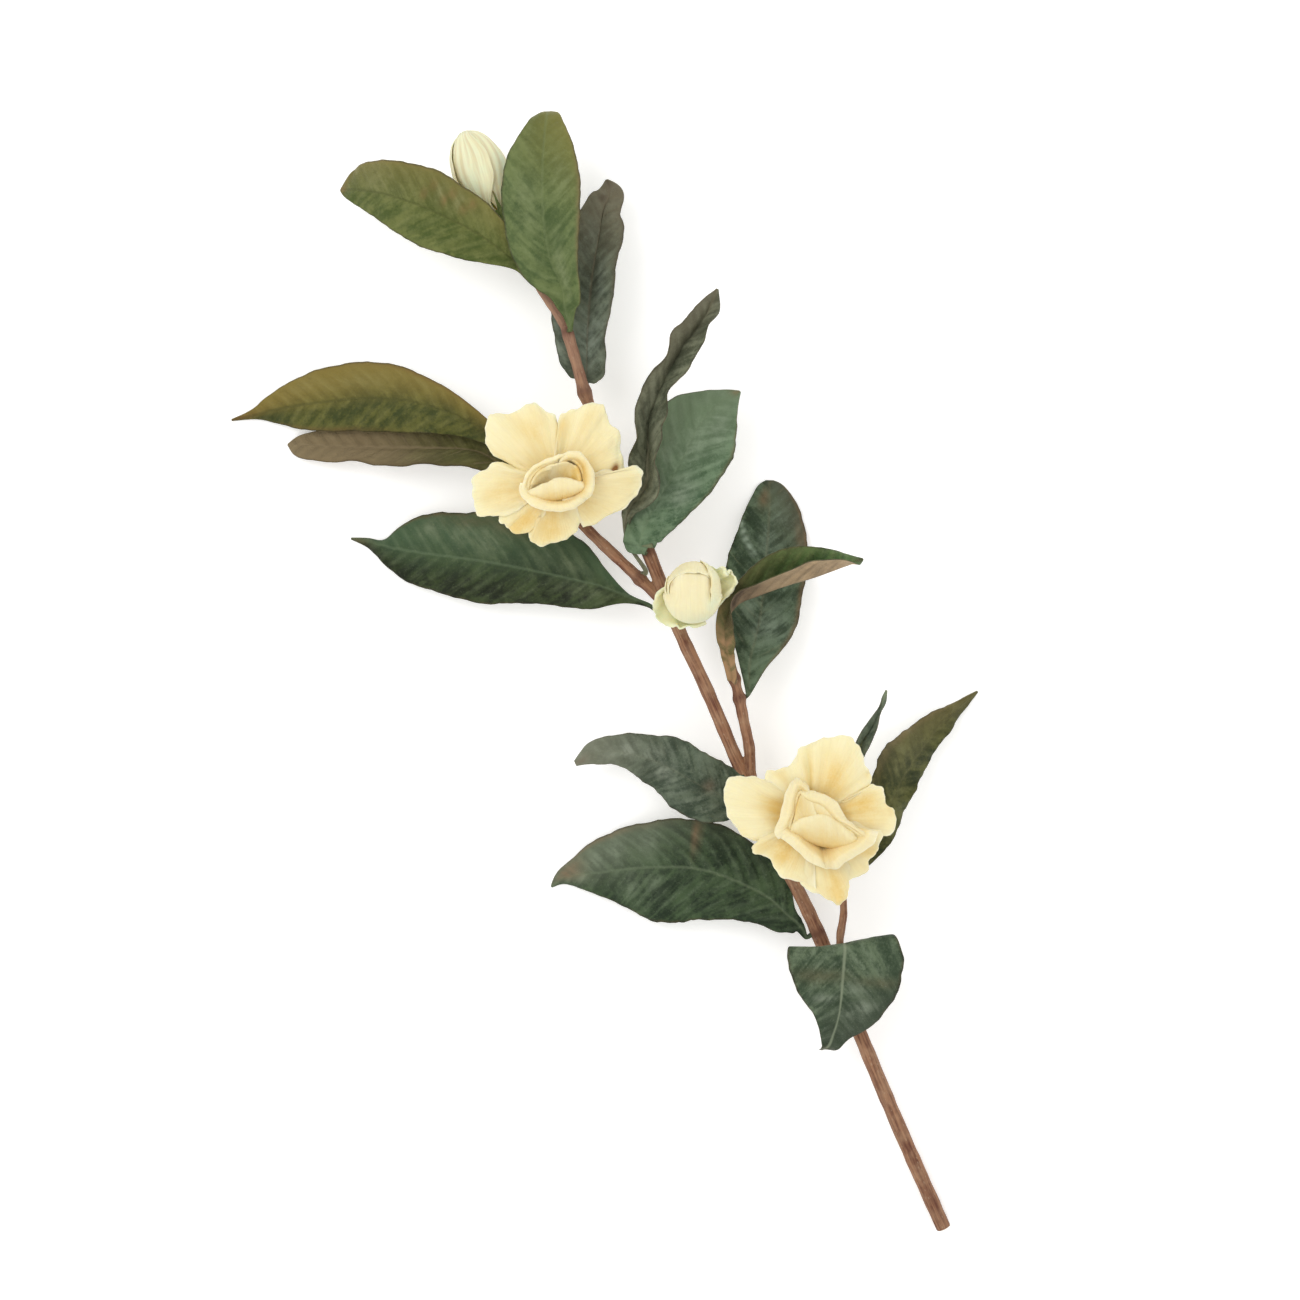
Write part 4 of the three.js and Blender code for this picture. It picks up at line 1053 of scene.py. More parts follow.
LOWER_HEART = [
    Petal([
        (1.2, -1.5, 18.4), (0.8, 2, 19), (0.2, 5, 19.3), (-1, 8.2, 19.5), (-4.4, 11, 19.4),
        (-7, 11, 19.2), (-8.4, 7, 19), (-9.4, 2, 18.8), (-11, -3, 18.2),
    # This ochre mark is painted shade of the inner wall.
    ], CUSHION, (-4.6, -1, 8), ochre_and_shade=[(0.8, 0.5, 0.4, 0.4, 0.9)], dents=[(0.6, -0.1, 0.4, 0.15, 0.5)]),
    Petal([
        (10, -2, 18.2), (9.4, 0.6, 18.6), (6.6, 4, 18.9), (3.6, 6.4, 19.1), (1, 7.8, 19.1),
        (-1.4, 8, 18.6), (-1.2, 4.5, 18.2), (-1, 1, 18), (-1, -1.5, 17.6),
    # This brown mark is painted shade in a small pit.
    ], CUSHION, (3, -1.5, 8), brown_and_shade=[(0.95, 0.45, 0.1, 0.12, 0.35)]),
]

HALF_OPEN_LOBES = [
    Petal([
        (14, -8, 8), (18, -3.4, 10), (21, 0.4, 11), (23.6, 4.6, 11.5), (23.3, 8, 12),
        (21.6, 11, 13), (19.6, 9.4, 12.5), (17.6, 13.2, 13), (14.4, 12.4, 12), (11, 15, 11),
    ], LOBE, blush=[(0.6, 0, 0.8, 3, 1.0)], dents=[(0.8, 0.1, 0.3, 0.2, 1.2)]),
    Petal([
        (-11.5, 2.5, 10), (-16.4, -1, 11.5), (-18.6, -5.5, 11.5), (-18.4, -10, 11),
        (-16.6, -14, 10.5), (-12.6, -16.4, 10), (-8, -16.8, 10), (-4.6, -18.8, 9.5),
        (0, -17.4, 9), (4, -17.6, 8), (8.5, -15.6, 8),
    ], LOBE, blush=[(0.6, 0, 0.8, 3, 1.0)],
        dents=[(0.85, -0.3, 0.3, 0.1, 1), (0.85, 0.3, 0.3, 0.1, 1)]),
]
HALF_OPEN_WRAPS = [
    RoundPetal(
        [(15, 66), (40, 48), (65, 40), (86, 37), (115, 40), (143, 50), (167, 59), (195, 68)],
        radius=13.4, brown_and_shade=[(0.93, 0.55, 0.05, 0.2, 0.3)],
    ),
    RoundPetal(
        [(150, 80), (175, 74), (200, 68), (225, 66), (250, 66), (275, 67), (298, 72), (318, 82)],
        radius=13.8, blush=[(0.7, 0.4, 0.4, 0.7, 1.0)],
    ),
    RoundPetal(
        [
            (255, 86), (285, 76), (315, 56), (340, 42), (362, 38), (385, 43), (402, 53),
            (420, 66), (435, 84),
        ],
        # This ochre mark at the edge is painted shade inside the petal's curl.
        radius=14.2, ochre_and_shade=[(0.97, 0.2, 0.06, 0.4, 0.8)],
        blush=[(0.75, -0.5, 0.4, 0.5, 1.0), (0.6, 0.5, 0.3, 0.5, 0.6)],
    ),
]
HALF_OPEN_HEART = [
    HoodPetal(
        ochre_and_shade=[(0.86, 0.62, 0.1, 0.1, 0.5)],
        blush=[(0.38, 0, 0.16, 1.5, 0.8), (0.56, 0.62, 0.12, 0.3, 1.0)],
        brown_and_shade=[(0.86, -0.62, 0.03, 0.06, 0.4)],
        dents=[
            (0.62, -0.06, 0.14, 0.035, 0.5), (0.6, 0.33, 0.16, 0.04, 0.5),
            (0.6, -0.4, 0.025, 0.14, 0.4), (0.72, 0.12, 0.12, 0.03, 0.35),
        ],
    ),
]
CLOSED_BUD_WRAPS = [
    WrappedPetal(
        azimuth=azimuth, length=length, blush=[(0.5, 0.3, 0.6, 0.8, 1.0)],
        brown_and_shade=[(1, 0, 0.05, 1, 0.25), (0.85, -0.8, 0.2, 0.25, 0.3)],
    )
    for azimuth, length in ((45, 51.6), (135, 52.1), (225, 51.4), (315, 51.9))
]


@dataclass
class PetalLook:
    """Shares of the petal colours and the size of its ruffles in mm."""

    # Share of the claw colour, which is partly painted shade of the deep middle.
    claw_tint_and_shade: float = 0.8
    rim: float = 0.5
    green: float = 0.0
    streaks: float = 0.1
    ruffle: float = 1.0
    ragged: float = 0.4


OUTER_LOOK = PetalLook(claw_tint_and_shade=0.28, rim=0.6, green=0.15, ruffle=1.2, ragged=0.7)
# Petals deep in the flower take more of the claw colour, partly as painted shade of their depth.
CORE_LOOK = PetalLook(claw_tint_and_shade=0.6, ruffle=0.5, ragged=0.15)
LOBE_LOOK = PetalLook(claw_tint_and_shade=0.0, green=1.0, ruffle=2.2, ragged=2.8)
WRAP_LOOK = PetalLook(claw_tint_and_shade=0.1, rim=0.6, green=0.25, ruffle=0.5, ragged=0.6)
HOOD_LOOK = PetalLook(claw_tint_and_shade=0.1, ruffle=0.6, ragged=0.1)
CLOSED_LOOK = PetalLook(claw_tint_and_shade=0.0, rim=0.3, green=0.95, streaks=0.6, ruffle=0.4, ragged=0.3)
FLOWERS = {
    "middle_flower": (MIDDLE_FLOWER, [
        ("outer_petal", OUTER_LOOK, MIDDLE_OUTER), ("ring_petal", CORE_LOOK, MIDDLE_RING),
        ("inner_petal", CORE_LOOK, MIDDLE_INNER), ("heart_petal", CORE_LOOK, MIDDLE_HEART),
    ]),
    "lower_flower": (LOWER_FLOWER, [
        ("outer_petal", OUTER_LOOK, LOWER_OUTER), ("ring_petal", CORE_LOOK, LOWER_RING),
        ("inner_petal", CORE_LOOK, LOWER_INNER), ("heart_petal", CORE_LOOK, LOWER_HEART),
    ]),
    "half_open_bud": (HALF_OPEN_BUD, [
        ("lobe", LOBE_LOOK, HALF_OPEN_LOBES), ("petal", WRAP_LOOK, HALF_OPEN_WRAPS),
        ("heart", HOOD_LOOK, HALF_OPEN_HEART),
    ]),
    "closed_bud": (CLOSED_BUD, [("petal", CLOSED_LOOK, CLOSED_BUD_WRAPS)]),
}
PETAL_CELLS = (48, 44)
STREAK_SEEDS = 97  # how many different patterns of streaks there are

# Lengths of a petal's waves in mm, over 2 pi, and their heights in mm.
RUFFLE_SPANS = (3.1, 1.75, 1.0)
RUFFLE = 0.55
CREASE_SPANS = (3.7, 4.9, 5.3, 7.1)
FINE_CREASE_SPANS = (1.9, 3.3, 2.4)
CREASE = 0.34
BEND_SPANS = (6.5, 15, 9.5)
BEND = 0.5
PLEATS_PER_MM = 2.9
PLEAT = 0.06
TEETH_SPANS = (2.3, 1.1, 0.55)
TOOTH = 0.02  # share of the petal's length that a ragged edge varies by
ROUND_CORNER = 0.05  # share of its length that the corners of the free edge draw back


def under_view(points):
    """Moves points, drawn as the camera sees them, to where they lie at their own height."""
    nearer = (VIEW_DISTANCE + VIEW_LEVEL - points[:, 2:]) / VIEW_DISTANCE
    moved = VIEW_CENTRE + (points[:, :2] - VIEW_CENTRE) * nearer
    return np.concatenate([moved, points[:, 2:]], axis=1)


def over_net(net, u, v):
    """Points of the surface through a net's rows and columns."""
    columns = blend(net.reshape(len(net), -1), u).reshape(len(u), -1, 3)
    return blend(columns, (v + 1) / 2)


def petal_length(net):
    """Lengths of the middle of a petal and of its free edge."""
    middle, edge = net[:, net.shape[1] // 2], net[-2]
    return [np.linalg.norm(np.diff(line, axis=0), axis=1).sum() for line in (middle, edge)]


def crease(name, look, net, u, v):
    """How far each point moves along its normal, and the edge mask."""
    length, width = petal_length(net)
    x, y = v * width / 2, u * length
    turns = dice(name).uniform(0, 2 * math.pi, 10)
    edge = np.maximum(smooth(u, 0.86, 1.0), smooth(np.abs(v), 0.88, 1) * smooth(u, 0.4, 0.7))

    a, b, c = RUFFLE_SPANS
    ruffle = np.sin(x / a + turns[0] + u) + 0.6 * np.sin(x / b + turns[1] + 3 * u)
    ruffle = ruffle + 0.5 * np.sin(x / c + turns[2]) * smooth(u, 0.7, 1)
    ruffle = RUFFLE * ruffle * smooth(u, 0.45, 1) * (0.3 + 0.7 * smooth(u, 0.6, 1))

    a, b, c, d = CREASE_SPANS
    crumple = np.sin(x / a + y / b + turns[3]) * np.sin(y / c - x / d + turns[4])
    a, b, c = FINE_CREASE_SPANS
    crumple = crumple + 0.5 * np.sin(x / a - y / b + turns[5]) * np.sin(y / c + turns[6])
    a, b, c = BEND_SPANS
    bend = np.sin(x / a + y / b + turns[8]) * np.sin(y / c + turns[9])
    crumple = (CREASE * crumple + BEND * bend) * smooth(u, 0.15, 0.5)

    pleats = PLEAT * np.sin(x * PLEATS_PER_MM + turns[7]) * smooth(u, 0.1, 0.4)
    return look.ruffle * (ruffle + crumple) + pleats, edge


def ragged_edge(name, look, net, u, v):
    """The places on the net that the grid's places go to, which makes the free edge uneven."""
    _, width = petal_length(net)
    x = v * width / 2
    turns = dice(name).uniform(0, 2 * math.pi, 6)
    a, b, c = TEETH_SPANS
    teeth = np.sin(x / a + turns[0]) + 0.6 * np.sin(x / b + turns[1])
    teeth = teeth + 0.5 * np.sin(x / c + turns[2])
    corner = ROUND_CORNER * smooth(np.abs(v), 0.8, 1)
    return u * (1 - TOOTH * look.ragged * (2 + teeth) * smooth(u, 0.6, 1) - corner)


def facing(bloom):
    """The turn from straight up to the way a flower faces."""
    turn = Vector((0, 0, 1)).rotation_difference(Vector(bloom.axis).normalized())
    return np.array(turn.to_matrix())


# ---- Shader graphs -----------------------------------------------------------------------------


class Graph:
    """Adds nodes to a shader tree. A value is a number, a colour or another node's socket."""

    def __init__(self, tree):
        self.tree = tree

    def feed(self, node, values):
        """Sets inputs of a node to values, or links them to other nodes' sockets."""
        for key, value in values.items():
            if isinstance(value, bpy.types.NodeSocket):
                self.tree.links.new(value, node.inputs[key])
            else:
                node.inputs[key].default_value = value
        return node

    def node(self, kind, values=None, **choices):
        made = self.tree.nodes.new(kind)
        for key, choice in choices.items():
            setattr(made, key, choice)
        return self.feed(made, values or {})

    def maths(self, operation, *values):
        made = self.node("ShaderNodeMath", dict(enumerate(values)), operation=operation)
        return made.outputs[0]

    def plus(self, a, b):
        return self.maths("ADD", a, b)

    def minus(self, a, b):
        return self.maths("SUBTRACT", a, b)

    def times(self, a, b):
        return self.maths("MULTIPLY", a, b)

    def size(self, value):
        """The value without its sign."""
        return self.maths("ABSOLUTE", value)

    def less(self, value):
        """One less the value."""
        return self.minus(1.0, value)

    def total(self, *parts):
        """The sum of values, each times its weight."""
        first, *rest = [self.times(value, weight) for value, weight in parts]
        for part in rest:
            first = self.plus(first, part)
        return first

    def smooth(self, value, low, high):
        made = self.node(
            "ShaderNodeMapRange", {"Value": value, "From Min": low, "From Max": high},
            interpolation_type="SMOOTHSTEP",
        )
        return made.outputs["Result"]

    def mix(self, share, a, b):
        made = self.node("ShaderNodeMix", {0: share, 6: a, 7: b}, data_type="RGBA")
        return made.outputs[2]

    def coats(self, colour, *layers):
        """Lays more colours over one, each through its mask and with its strength."""
        for mask, strength, over in layers:
            colour = self.mix(self.times(mask, strength), colour, over)
        return colour

    def noise(self, vector, scale, detail=2.0, roughness=0.5):
        made = self.node(
            "ShaderNodeTexNoise",
            {"Vector": vector, "Scale": scale, "Detail": detail, "Roughness": roughness},
        )
        return made.outputs[0]

    def stretch(self, vector, scale):
        made = self.node("ShaderNodeMapping", {"Vector": vector, "Scale": scale})
        return made.outputs["Vector"]

    def place(self):
        return self.node("ShaderNodeTexCoord").outputs["Object"]

    def attribute(self, name):
        return self.node("ShaderNodeAttribute", attribute_name=name).outputs["Vector"]

    def split(self, vector):
        return self.node("ShaderNodeSeparateXYZ", {0: vector}).outputs

    def vector(self, x, y, z):
        return self.node("ShaderNodeCombineXYZ", {0: x, 1: y, 2: z}).outputs[0]

    def bump(self, height, strength, distance):
        made = self.node(
            "ShaderNodeBump", {"Height": height, "Strength": strength, "Distance": distance}
        )
        return made.outputs["Normal"]

    def group(self, tree, **values):
        made = self.node("ShaderNodeGroup", node_tree=tree)
        return self.feed(made, spaced(values)).outputs


def spaced(values):
    """Values keyed by the names of sockets, which are written here with _ for a space."""
    return {key.replace("_", " "): value for key, value in values.items()}


def shader_group(name, inputs, outputs, build):
    """A node group, built once. `build` gets the graph and the inputs and returns the outputs."""
    if name in bpy.data.node_groups:
        return bpy.data.node_groups[name]
    tree = bpy.data.node_groups.new(name, "ShaderNodeTree")
    for label, (kind, default) in inputs.items():
        socket = tree.interface.new_socket(name=label, in_out="INPUT", socket_type=kind)
        if default is not None:
            socket.default_value = default
    for label in outputs:
        tree.interface.new_socket(name=label, in_out="OUTPUT", socket_type="NodeSocketFloat")
    graph = Graph(tree)
    enter = graph.node("NodeGroupInput")
    leave = graph.node("NodeGroupOutput")
    for label, value in build(graph, enter.outputs).items():
        tree.links.new(value, leave.inputs[label])
    return tree


VECTOR = ("NodeSocketVector", None)


def number(default):
    return ("NodeSocketFloat", default)


def pinnate_veins():
    """Midrib and curved side veins of a blade, from its s, d and v."""

    def build(graph, given):
        s, d, v = graph.split(given["Blade"])
        wander = graph.noise(given["Blade"], scale=160.0, detail=1.0)
        s = graph.plus(s, graph.times(graph.minus(wander, 0.5), 0.003))
        slanted = graph.minus(s, graph.times(d, VEIN_SLANT))
        curved = graph.minus(slanted, graph.times(graph.times(d, d), VEIN_BEND))
        other_half = graph.times(graph.maths("GREATER_THAN", v, 0.0), 0.5)
        phase = graph.plus(graph.maths("DIVIDE", curved, given["Spacing"]), other_half)
        apart = graph.size(graph.minus(graph.maths("FRACT", phase), 0.5))
        distance = graph.times(graph.minus(0.5, apart), given["Spacing"])
        inside = graph.less(graph.smooth(graph.size(v), 0.7, 0.97))
        started = graph.smooth(s, 0.0, 0.012)
        line = graph.less(graph.smooth(distance, 0.0, given["Width"]))
        laterals = graph.times(graph.times(line, inside), started)
        swell = graph.times(graph.smooth(distance, 0.0, graph.times(given["Spacing"], 0.5)), inside)
        rib = graph.less(graph.smooth(d, 0.0002, given["Rib Width"]))
        along_vein = graph.vector(
            graph.times(phase, 1.15), graph.times(d, 38.0), graph.times(other_half, 9.0)
        )
        brushed = graph.noise(along_vein, scale=1.6, detail=3.0, roughness=0.6)
        feather = graph.smooth(brushed, 0.36, 0.64)
        return {"Laterals": laterals, "Swell": swell, "Rib": rib, "Feather": feather}

    inputs = {
        "Blade": VECTOR,
        "Spacing": number(0.0085),
        "Width": number(0.0009),
        "Rib Width": number(0.0012),
    }
    return shader_group("Pinnate Veins", inputs, ["Laterals", "Swell", "Rib", "Feather"], build)


def mottling():
    """Soft blotches with a fine speckle in them."""

    def build(graph, given):
        finer = graph.times(given["Scale"], 12.0)
        blotch = graph.noise(given["Vector"], scale=given["Scale"], detail=3.0, roughness=0.55)
        speckle = graph.noise(given["Vector"], scale=finer, roughness=0.6)
        both = graph.total((blotch, 0.72), (speckle, 0.28))
        return {"Mask": graph.smooth(both, given["Low"], given["High"])}

    inputs = {"Vector": VECTOR, "Scale": number(60.0), "Low": number(0.35), "High": number(0.65)}
    return shader_group("Mottling", inputs, ["Mask"], build)


def net_veins():
    """The net of small veins between the side veins."""

    def build(graph, given):
        cells = graph.node(
            "ShaderNodeTexVoronoi", {"Vector": given["Vector"], "Scale": given["Scale"]},
            feature="DISTANCE_TO_EDGE",
        )
        line = graph.less(graph.smooth(cells.outputs["Distance"], 0.0, 0.12))
        return {"Lines": line}

    inputs = {"Vector": VECTOR, "Scale": number(520.0)}
    return shader_group("Net Veins", inputs, ["Lines"], build)


def petal_streaks():
    """Fine veins that fan out along a petal, from its share, distance and v."""

    def build(graph, given):
        run, across, _ = graph.split(given["Petal"])
        narrow = graph.vector(graph.times(run, 1.6), graph.times(across, 1100.0), given["Seed"])
        wide = graph.vector(graph.times(run, 2.2), graph.times(across, 190.0), given["Seed"])
        fine = graph.noise(narrow, scale=1.0, roughness=0.6)
        broad = graph.noise(wide, scale=1.0)
        return {"Fine": graph.smooth(fine, 0.35, 0.7), "Broad": graph.smooth(broad, 0.35, 0.65)}

    inputs = {"Petal": VECTOR, "Seed": number(0.0)}
    return shader_group("Petal Streaks", inputs, ["Fine", "Broad"], build)


def new_material(name):
    """A material with only its surface shader and output, and the graph to add to."""
    material = bpy.data.materials.new(name)
    material.use_nodes = True
    return material, Graph(material.node_tree)


def finished(material, graph, **values):
    """The material, with its surface shader's own inputs set or linked."""
    graph.feed(material.node_tree.nodes["Principled BSDF"], spaced(values))
    return material


# Colours of the materials that the settings and the leaves' own looks don't hold.
MARGIN_DEEP = srgb(50, 44, 32)
MARGIN_LIGHT = srgb(92, 80, 54)
# Lighter bark: partly its own tone, partly painted highlight.
BARK_PATCH_AND_HIGHLIGHT = srgb(180, 146, 114)
BARK_YOUNG = srgb(172, 138, 116)
BARK_PORE = srgb(186, 162, 134)
BARK_KNOT = srgb(84, 46, 34)
CALYX_DEEP = srgb(74, 92, 44)
CALYX_LIGHT = srgb(112, 126, 64)
CALYX_RIB = srgb(150, 158, 96)
CALYX_TIP = srgb(120, 96, 58)


def blade_material(name, leaf, spacing, underside=False):
    """Leathery blade: mottled green, washed and worn in places, with a pale midrib."""
    look = leaf.look
    material, graph = new_material(name)
    blade = graph.attribute("blade")
    _, _, v = graph.split(blade)
    wash, pale, worn = graph.split(graph.attribute("tint"))
    place = graph.place()
    veins = graph.group(
        pinnate_veins(), Blade=blade, Spacing=spacing,
        Width=0.0013 if underside else 0.0010, Rib_Width=0.0017 if underside else 0.0012,
    )
    blotches = graph.group(mottling(), Vector=place, Scale=62.0, Low=0.38, High=0.64)["Mask"]
    daubs = graph.group(mottling(), Vector=place, Scale=230.0, Low=0.4, High=0.66)["Mask"]
    speckle = graph.noise(place, scale=1100.0, roughness=0.7)
    net = graph.group(net_veins(), Vector=blade, Scale=560.0)["Lines"]

    light = srgb(*(look.under if underside else look.light))
    deep = (*(0.6 * c for c in light[:3]), 1.0) if underside else srgb(*look.deep)
    pale_green, rib_green = srgb(*look.pale), srgb(*look.rib)
    tone = graph.total((blotches, 0.42), (veins["Feather"], 0.34), (daubs, 0.24))
    colour = graph.mix(graph.smooth(tone, 0.04, 0.9), deep, light)
    if leaf.underside_up or not underside:
        colour = graph.coats(colour, (wash, 0.85, srgb(*look.wash)))
    broken = graph.total((veins["Feather"], 0.6), (daubs, 0.4))
    patch = graph.times(pale, graph.plus(graph.times(broken, 0.85), 0.15))
    browned = graph.times(worn, graph.plus(graph.times(broken, 0.5), 0.5))
    margin = graph.smooth(graph.size(v), 0.93, 1.0)
    here = graph.smooth(graph.noise(place, scale=55.0), 0.42, 0.62)
    colour = graph.coats(
        colour,
        (patch, 0.9, pale_green),
        # Painted highlight on the crests that swell between the side veins.
        (graph.times(veins["Swell"], broken), 0.16, pale_green),
        (net, 0.14, deep),
        (graph.times(veins["Laterals"], here), look.side_veins, rib_green),
        (veins["Rib"], look.midrib, rib_green),
        (browned, 1.0, srgb(*look.worn)),
        (margin, 0.6, graph.mix(daubs, MARGIN_DEEP, MARGIN_LIGHT)),
        (graph.smooth(speckle, 0.56, 0.8), 0.22, pale_green),
    )

    relief = graph.total(
        (veins["Swell"], 0.8), (net, -0.12), (veins["Rib"], 0.8 if underside else -0.8),
        (veins["Laterals"], 1.2 if underside else -0.25), (daubs, 0.35), (speckle, 0.2),
    )
    matt = look.gloss + (0.2 if underside else 0.06)
    return finished(
        material, graph, Base_Color=colour, Roughness=graph.plus(graph.times(tone, -0.1), matt),
        Specular_IOR_Level=0.22, Normal=graph.bump(relief, 0.6, 0.0007),
    )


def petal_material(name, look, petals, seed):
    """Soft petal: cream, yellower towards its claw, which is partly painted shade of the deep middle,
    with ochre patches that are partly painted shade, brown marks that are dried spots and in places
    painted shade, and a pale rim.
    """
    material, graph = new_material(name)
    petal = graph.attribute("petal")
    run, _, ochre_and_shade = graph.split(petal)
    rim, green, worn = graph.split(graph.attribute("tint"))
    place = graph.place()
    streaks = graph.group(petal_streaks(), Petal=petal, Seed=float(seed))
    blush = graph.group(mottling(), Vector=place, Scale=85.0, Low=0.36, High=0.66)["Mask"]

    # Yellower towards the claw: partly the petal's own tint, partly painted shade of the flower's deep
    # middle.
    claw = graph.less(graph.smooth(run, 0.2, 0.95))
    deep = graph.total((claw, look.claw_tint_and_shade), (streaks["Broad"], 0.1), (blush, 0.12))
    patchy = graph.plus(graph.total((streaks["Broad"], 0.2), (blush, 0.4)), 0.42)
    tinged = graph.plus(graph.times(blush, 0.5), 0.5)
    colour = graph.coats(
        graph.mix(deep, tuple(petals.cream), tuple(petals.claw_tint_and_shade)),
        (rim, look.rim, tuple(petals.rim)),
        # Ochre patches: partly the petals' own yellowing, partly painted shade in valleys and bowls.
        (graph.times(ochre_and_shade, patchy), 1.0, tuple(petals.ochre_and_shade)),
        (graph.times(green, tinged), 1.0, tuple(petals.green)),
        (streaks["Fine"], look.streaks, tuple(petals.streak)),
        # Brown: dried spots, and in places painted shade.
        (worn, 1.0, tuple(petals.worn)),
    )

    grain = graph.noise(place, scale=1500.0, roughness=0.6)
    relief = graph.total((streaks["Fine"], 0.6), (grain, 0.2), (blush, 0.5))
    return finished(
        material, graph, Base_Color=colour, Roughness=0.6, Specular_IOR_Level=0.25,
        Subsurface_Weight=0.2, Subsurface_Radius=(0.003, 0.0022, 0.001), Subsurface_Scale=1.0,
        Sheen_Weight=0.05, Normal=graph.bump(relief, 0.5, 0.0003),
    )


def bark_material(stem):
    """Reddish bark with fine lengthwise streaks, darker knots and a pale cut face."""
    material, graph = new_material("stem_bark")
    grain = graph.attribute("grain")
    knot, cut, young = graph.split(graph.attribute("tint"))

    def long_noise(squash, scale, detail=2.0, roughness=0.5):
        """Noise drawn out along the grain."""
        return graph.noise(graph.stretch(grain, (1.0, 1.0, squash)), scale, detail, roughness)

    streak = graph.smooth(long_noise(0.05, 900.0, 4.0, 0.7), 0.42, 0.62)
    band = graph.smooth(long_noise(0.08, 330.0), 0.5, 0.66)
    # Lighter patches at random: partly the bark's own tone, partly painted highlight.
    patches_and_highlights = graph.smooth(graph.noise(grain, scale=110.0, detail=3.0, roughness=0.6), 0.3, 0.75)
    pores = graph.node(
        "ShaderNodeTexVoronoi", {"Vector": graph.stretch(grain, (1, 1, 0.45)), "Scale": 620.0}
    )
    pore = graph.less(graph.smooth(pores.outputs["Distance"], 0.1, 0.24))
    rings = graph.noise(graph.stretch(grain, (0.12, 0.12, 1.0)), scale=620.0)

    colour = graph.coats(
        graph.mix(streak, tuple(stem.bark), tuple(stem.streak)),
        (band, 0.5, tuple(stem.streak)),
        # Lighter patches, partly painted highlight.
        (patches_and_highlights, 0.45, BARK_PATCH_AND_HIGHLIGHT),
        (young, 0.5, BARK_YOUNG),
        (pore, 0.35, BARK_PORE),
        (knot, 0.6, BARK_KNOT),
        (cut, 1.0, tuple(stem.wood)),
    )
    relief = graph.total((streak, -0.6), (pore, 0.5), (rings, 0.5))
    return finished(
        material, graph, Base_Color=colour, Roughness=0.68, Specular_IOR_Level=0.3,
        Normal=graph.bump(relief, 0.6, 0.0004),
    )


def calyx_material():
    """Green calyx with paler ribs."""
    material, graph = new_material("calyx_green")
    place = graph.place()
    rib, tip, _ = graph.split(graph.attribute("tint"))
    blotches = graph.group(mottling(), Vector=place, Scale=260.0, Low=0.3, High=0.7)["Mask"]
    colour = graph.coats(
        graph.mix(blotches, CALYX_DEEP, CALYX_LIGHT), (rib, 0.5, CALYX_RIB), (tip, 0.6, CALYX_TIP)
    )
    relief = graph.noise(place, scale=1400.0, detail=3.0, roughness=0.6)
    return finished(
        material, graph, Base_Color=colour, Roughness=0.55, Specular_IOR_Level=0.3,
        Normal=graph.bump(relief, 0.3, 0.0002),
    )


# ---- Mesh helpers ------------------------------------------------------------------------------


def primitive(add, name, **sizes):
    """Adds a primitive with nothing else selected, and names it."""
    bpy.ops.object.select_all(action="DESELECT")
    add(**sizes)
    piece = bpy.context.active_object
    piece.name = piece.data.name = name
    return piece


def sheet_grid(name, cells):
    """A flat grid with its u from 0 to 1 along it and its v from -1 to 1 across."""
    along, across = cells
    sheet = primitive(
        bpy.ops.mesh.primitive_grid_add, name, x_subdivisions=along, y_subdivisions=across, size=1
    )
    places = read_places(sheet)
    return sheet, places[:, 0] + 0.5, places[:, 1] * 2


def join(parts):
    """Joins meshes into the first of them."""
    bpy.ops.object.select_all(action="DESELECT")
    for part in parts:
        part.select_set(True)
    bpy.context.view_layer.objects.active = parts[0]
    bpy.ops.object.join()
    return parts[0]


def read_places(piece, kind="co"):
    """The places of a mesh's points, or with kind "normal" the ways they face."""
    vectors = np.empty(len(piece.data.vertices) * 3)
    piece.data.vertices.foreach_get(kind, vectors)
    return vectors.reshape(-1, 3)


def set_places(piece, points):
    piece.data.vertices.foreach_set("co", np.asarray(points, float).ravel())
    piece.data.update()


def to_frame(points):
    """Millimetres of the spray as metres of the frame."""
    return (np.asarray(points) + TO_CENTRE) * MM


def set_attribute(piece, name, vectors):
    made = piece.data.attributes.new(name, "FLOAT_VECTOR", "POINT")
    made.data.foreach_set("vector", np.asarray(vectors, float).ravel())


def apply(piece, kind, **choices):
    """Adds a modifier and applies it."""
    modifier = piece.modifiers.new(kind, kind)
    for key, choice in choices.items():
        setattr(modifier, key, choice)
    bpy.context.view_layer.objects.active = piece
    bpy.ops.object.modifier_apply(modifier=modifier.name)


def thicken(piece, thickness):
    """Gives a sheet its two sides. `thickness` holds one number for each vertex, in mm."""
    most = thickness.max()
    group = piece.vertex_groups.new(name="thickness")
    for index, share in enumerate(thickness / most):
        group.add([index], float(share), "REPLACE")
    apply(
        piece, "SOLIDIFY", thickness=most * MM, offset=0.0, vertex_group=group.name,
        use_rim=True, material_offset=1, material_offset_rim=0,
    )
    piece.vertex_groups.clear()


def settle(piece, node):
    """Puts a finished piece in place of its solid."""
    bpy.ops.object.select_all(action="DESELECT")
    piece.select_set(True)
    bpy.context.view_layer.objects.active = piece
    bpy.ops.object.shade_smooth()
    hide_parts(node)
    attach(piece, "root")


# ---- Operators ----------------------------------------------------------------------------------


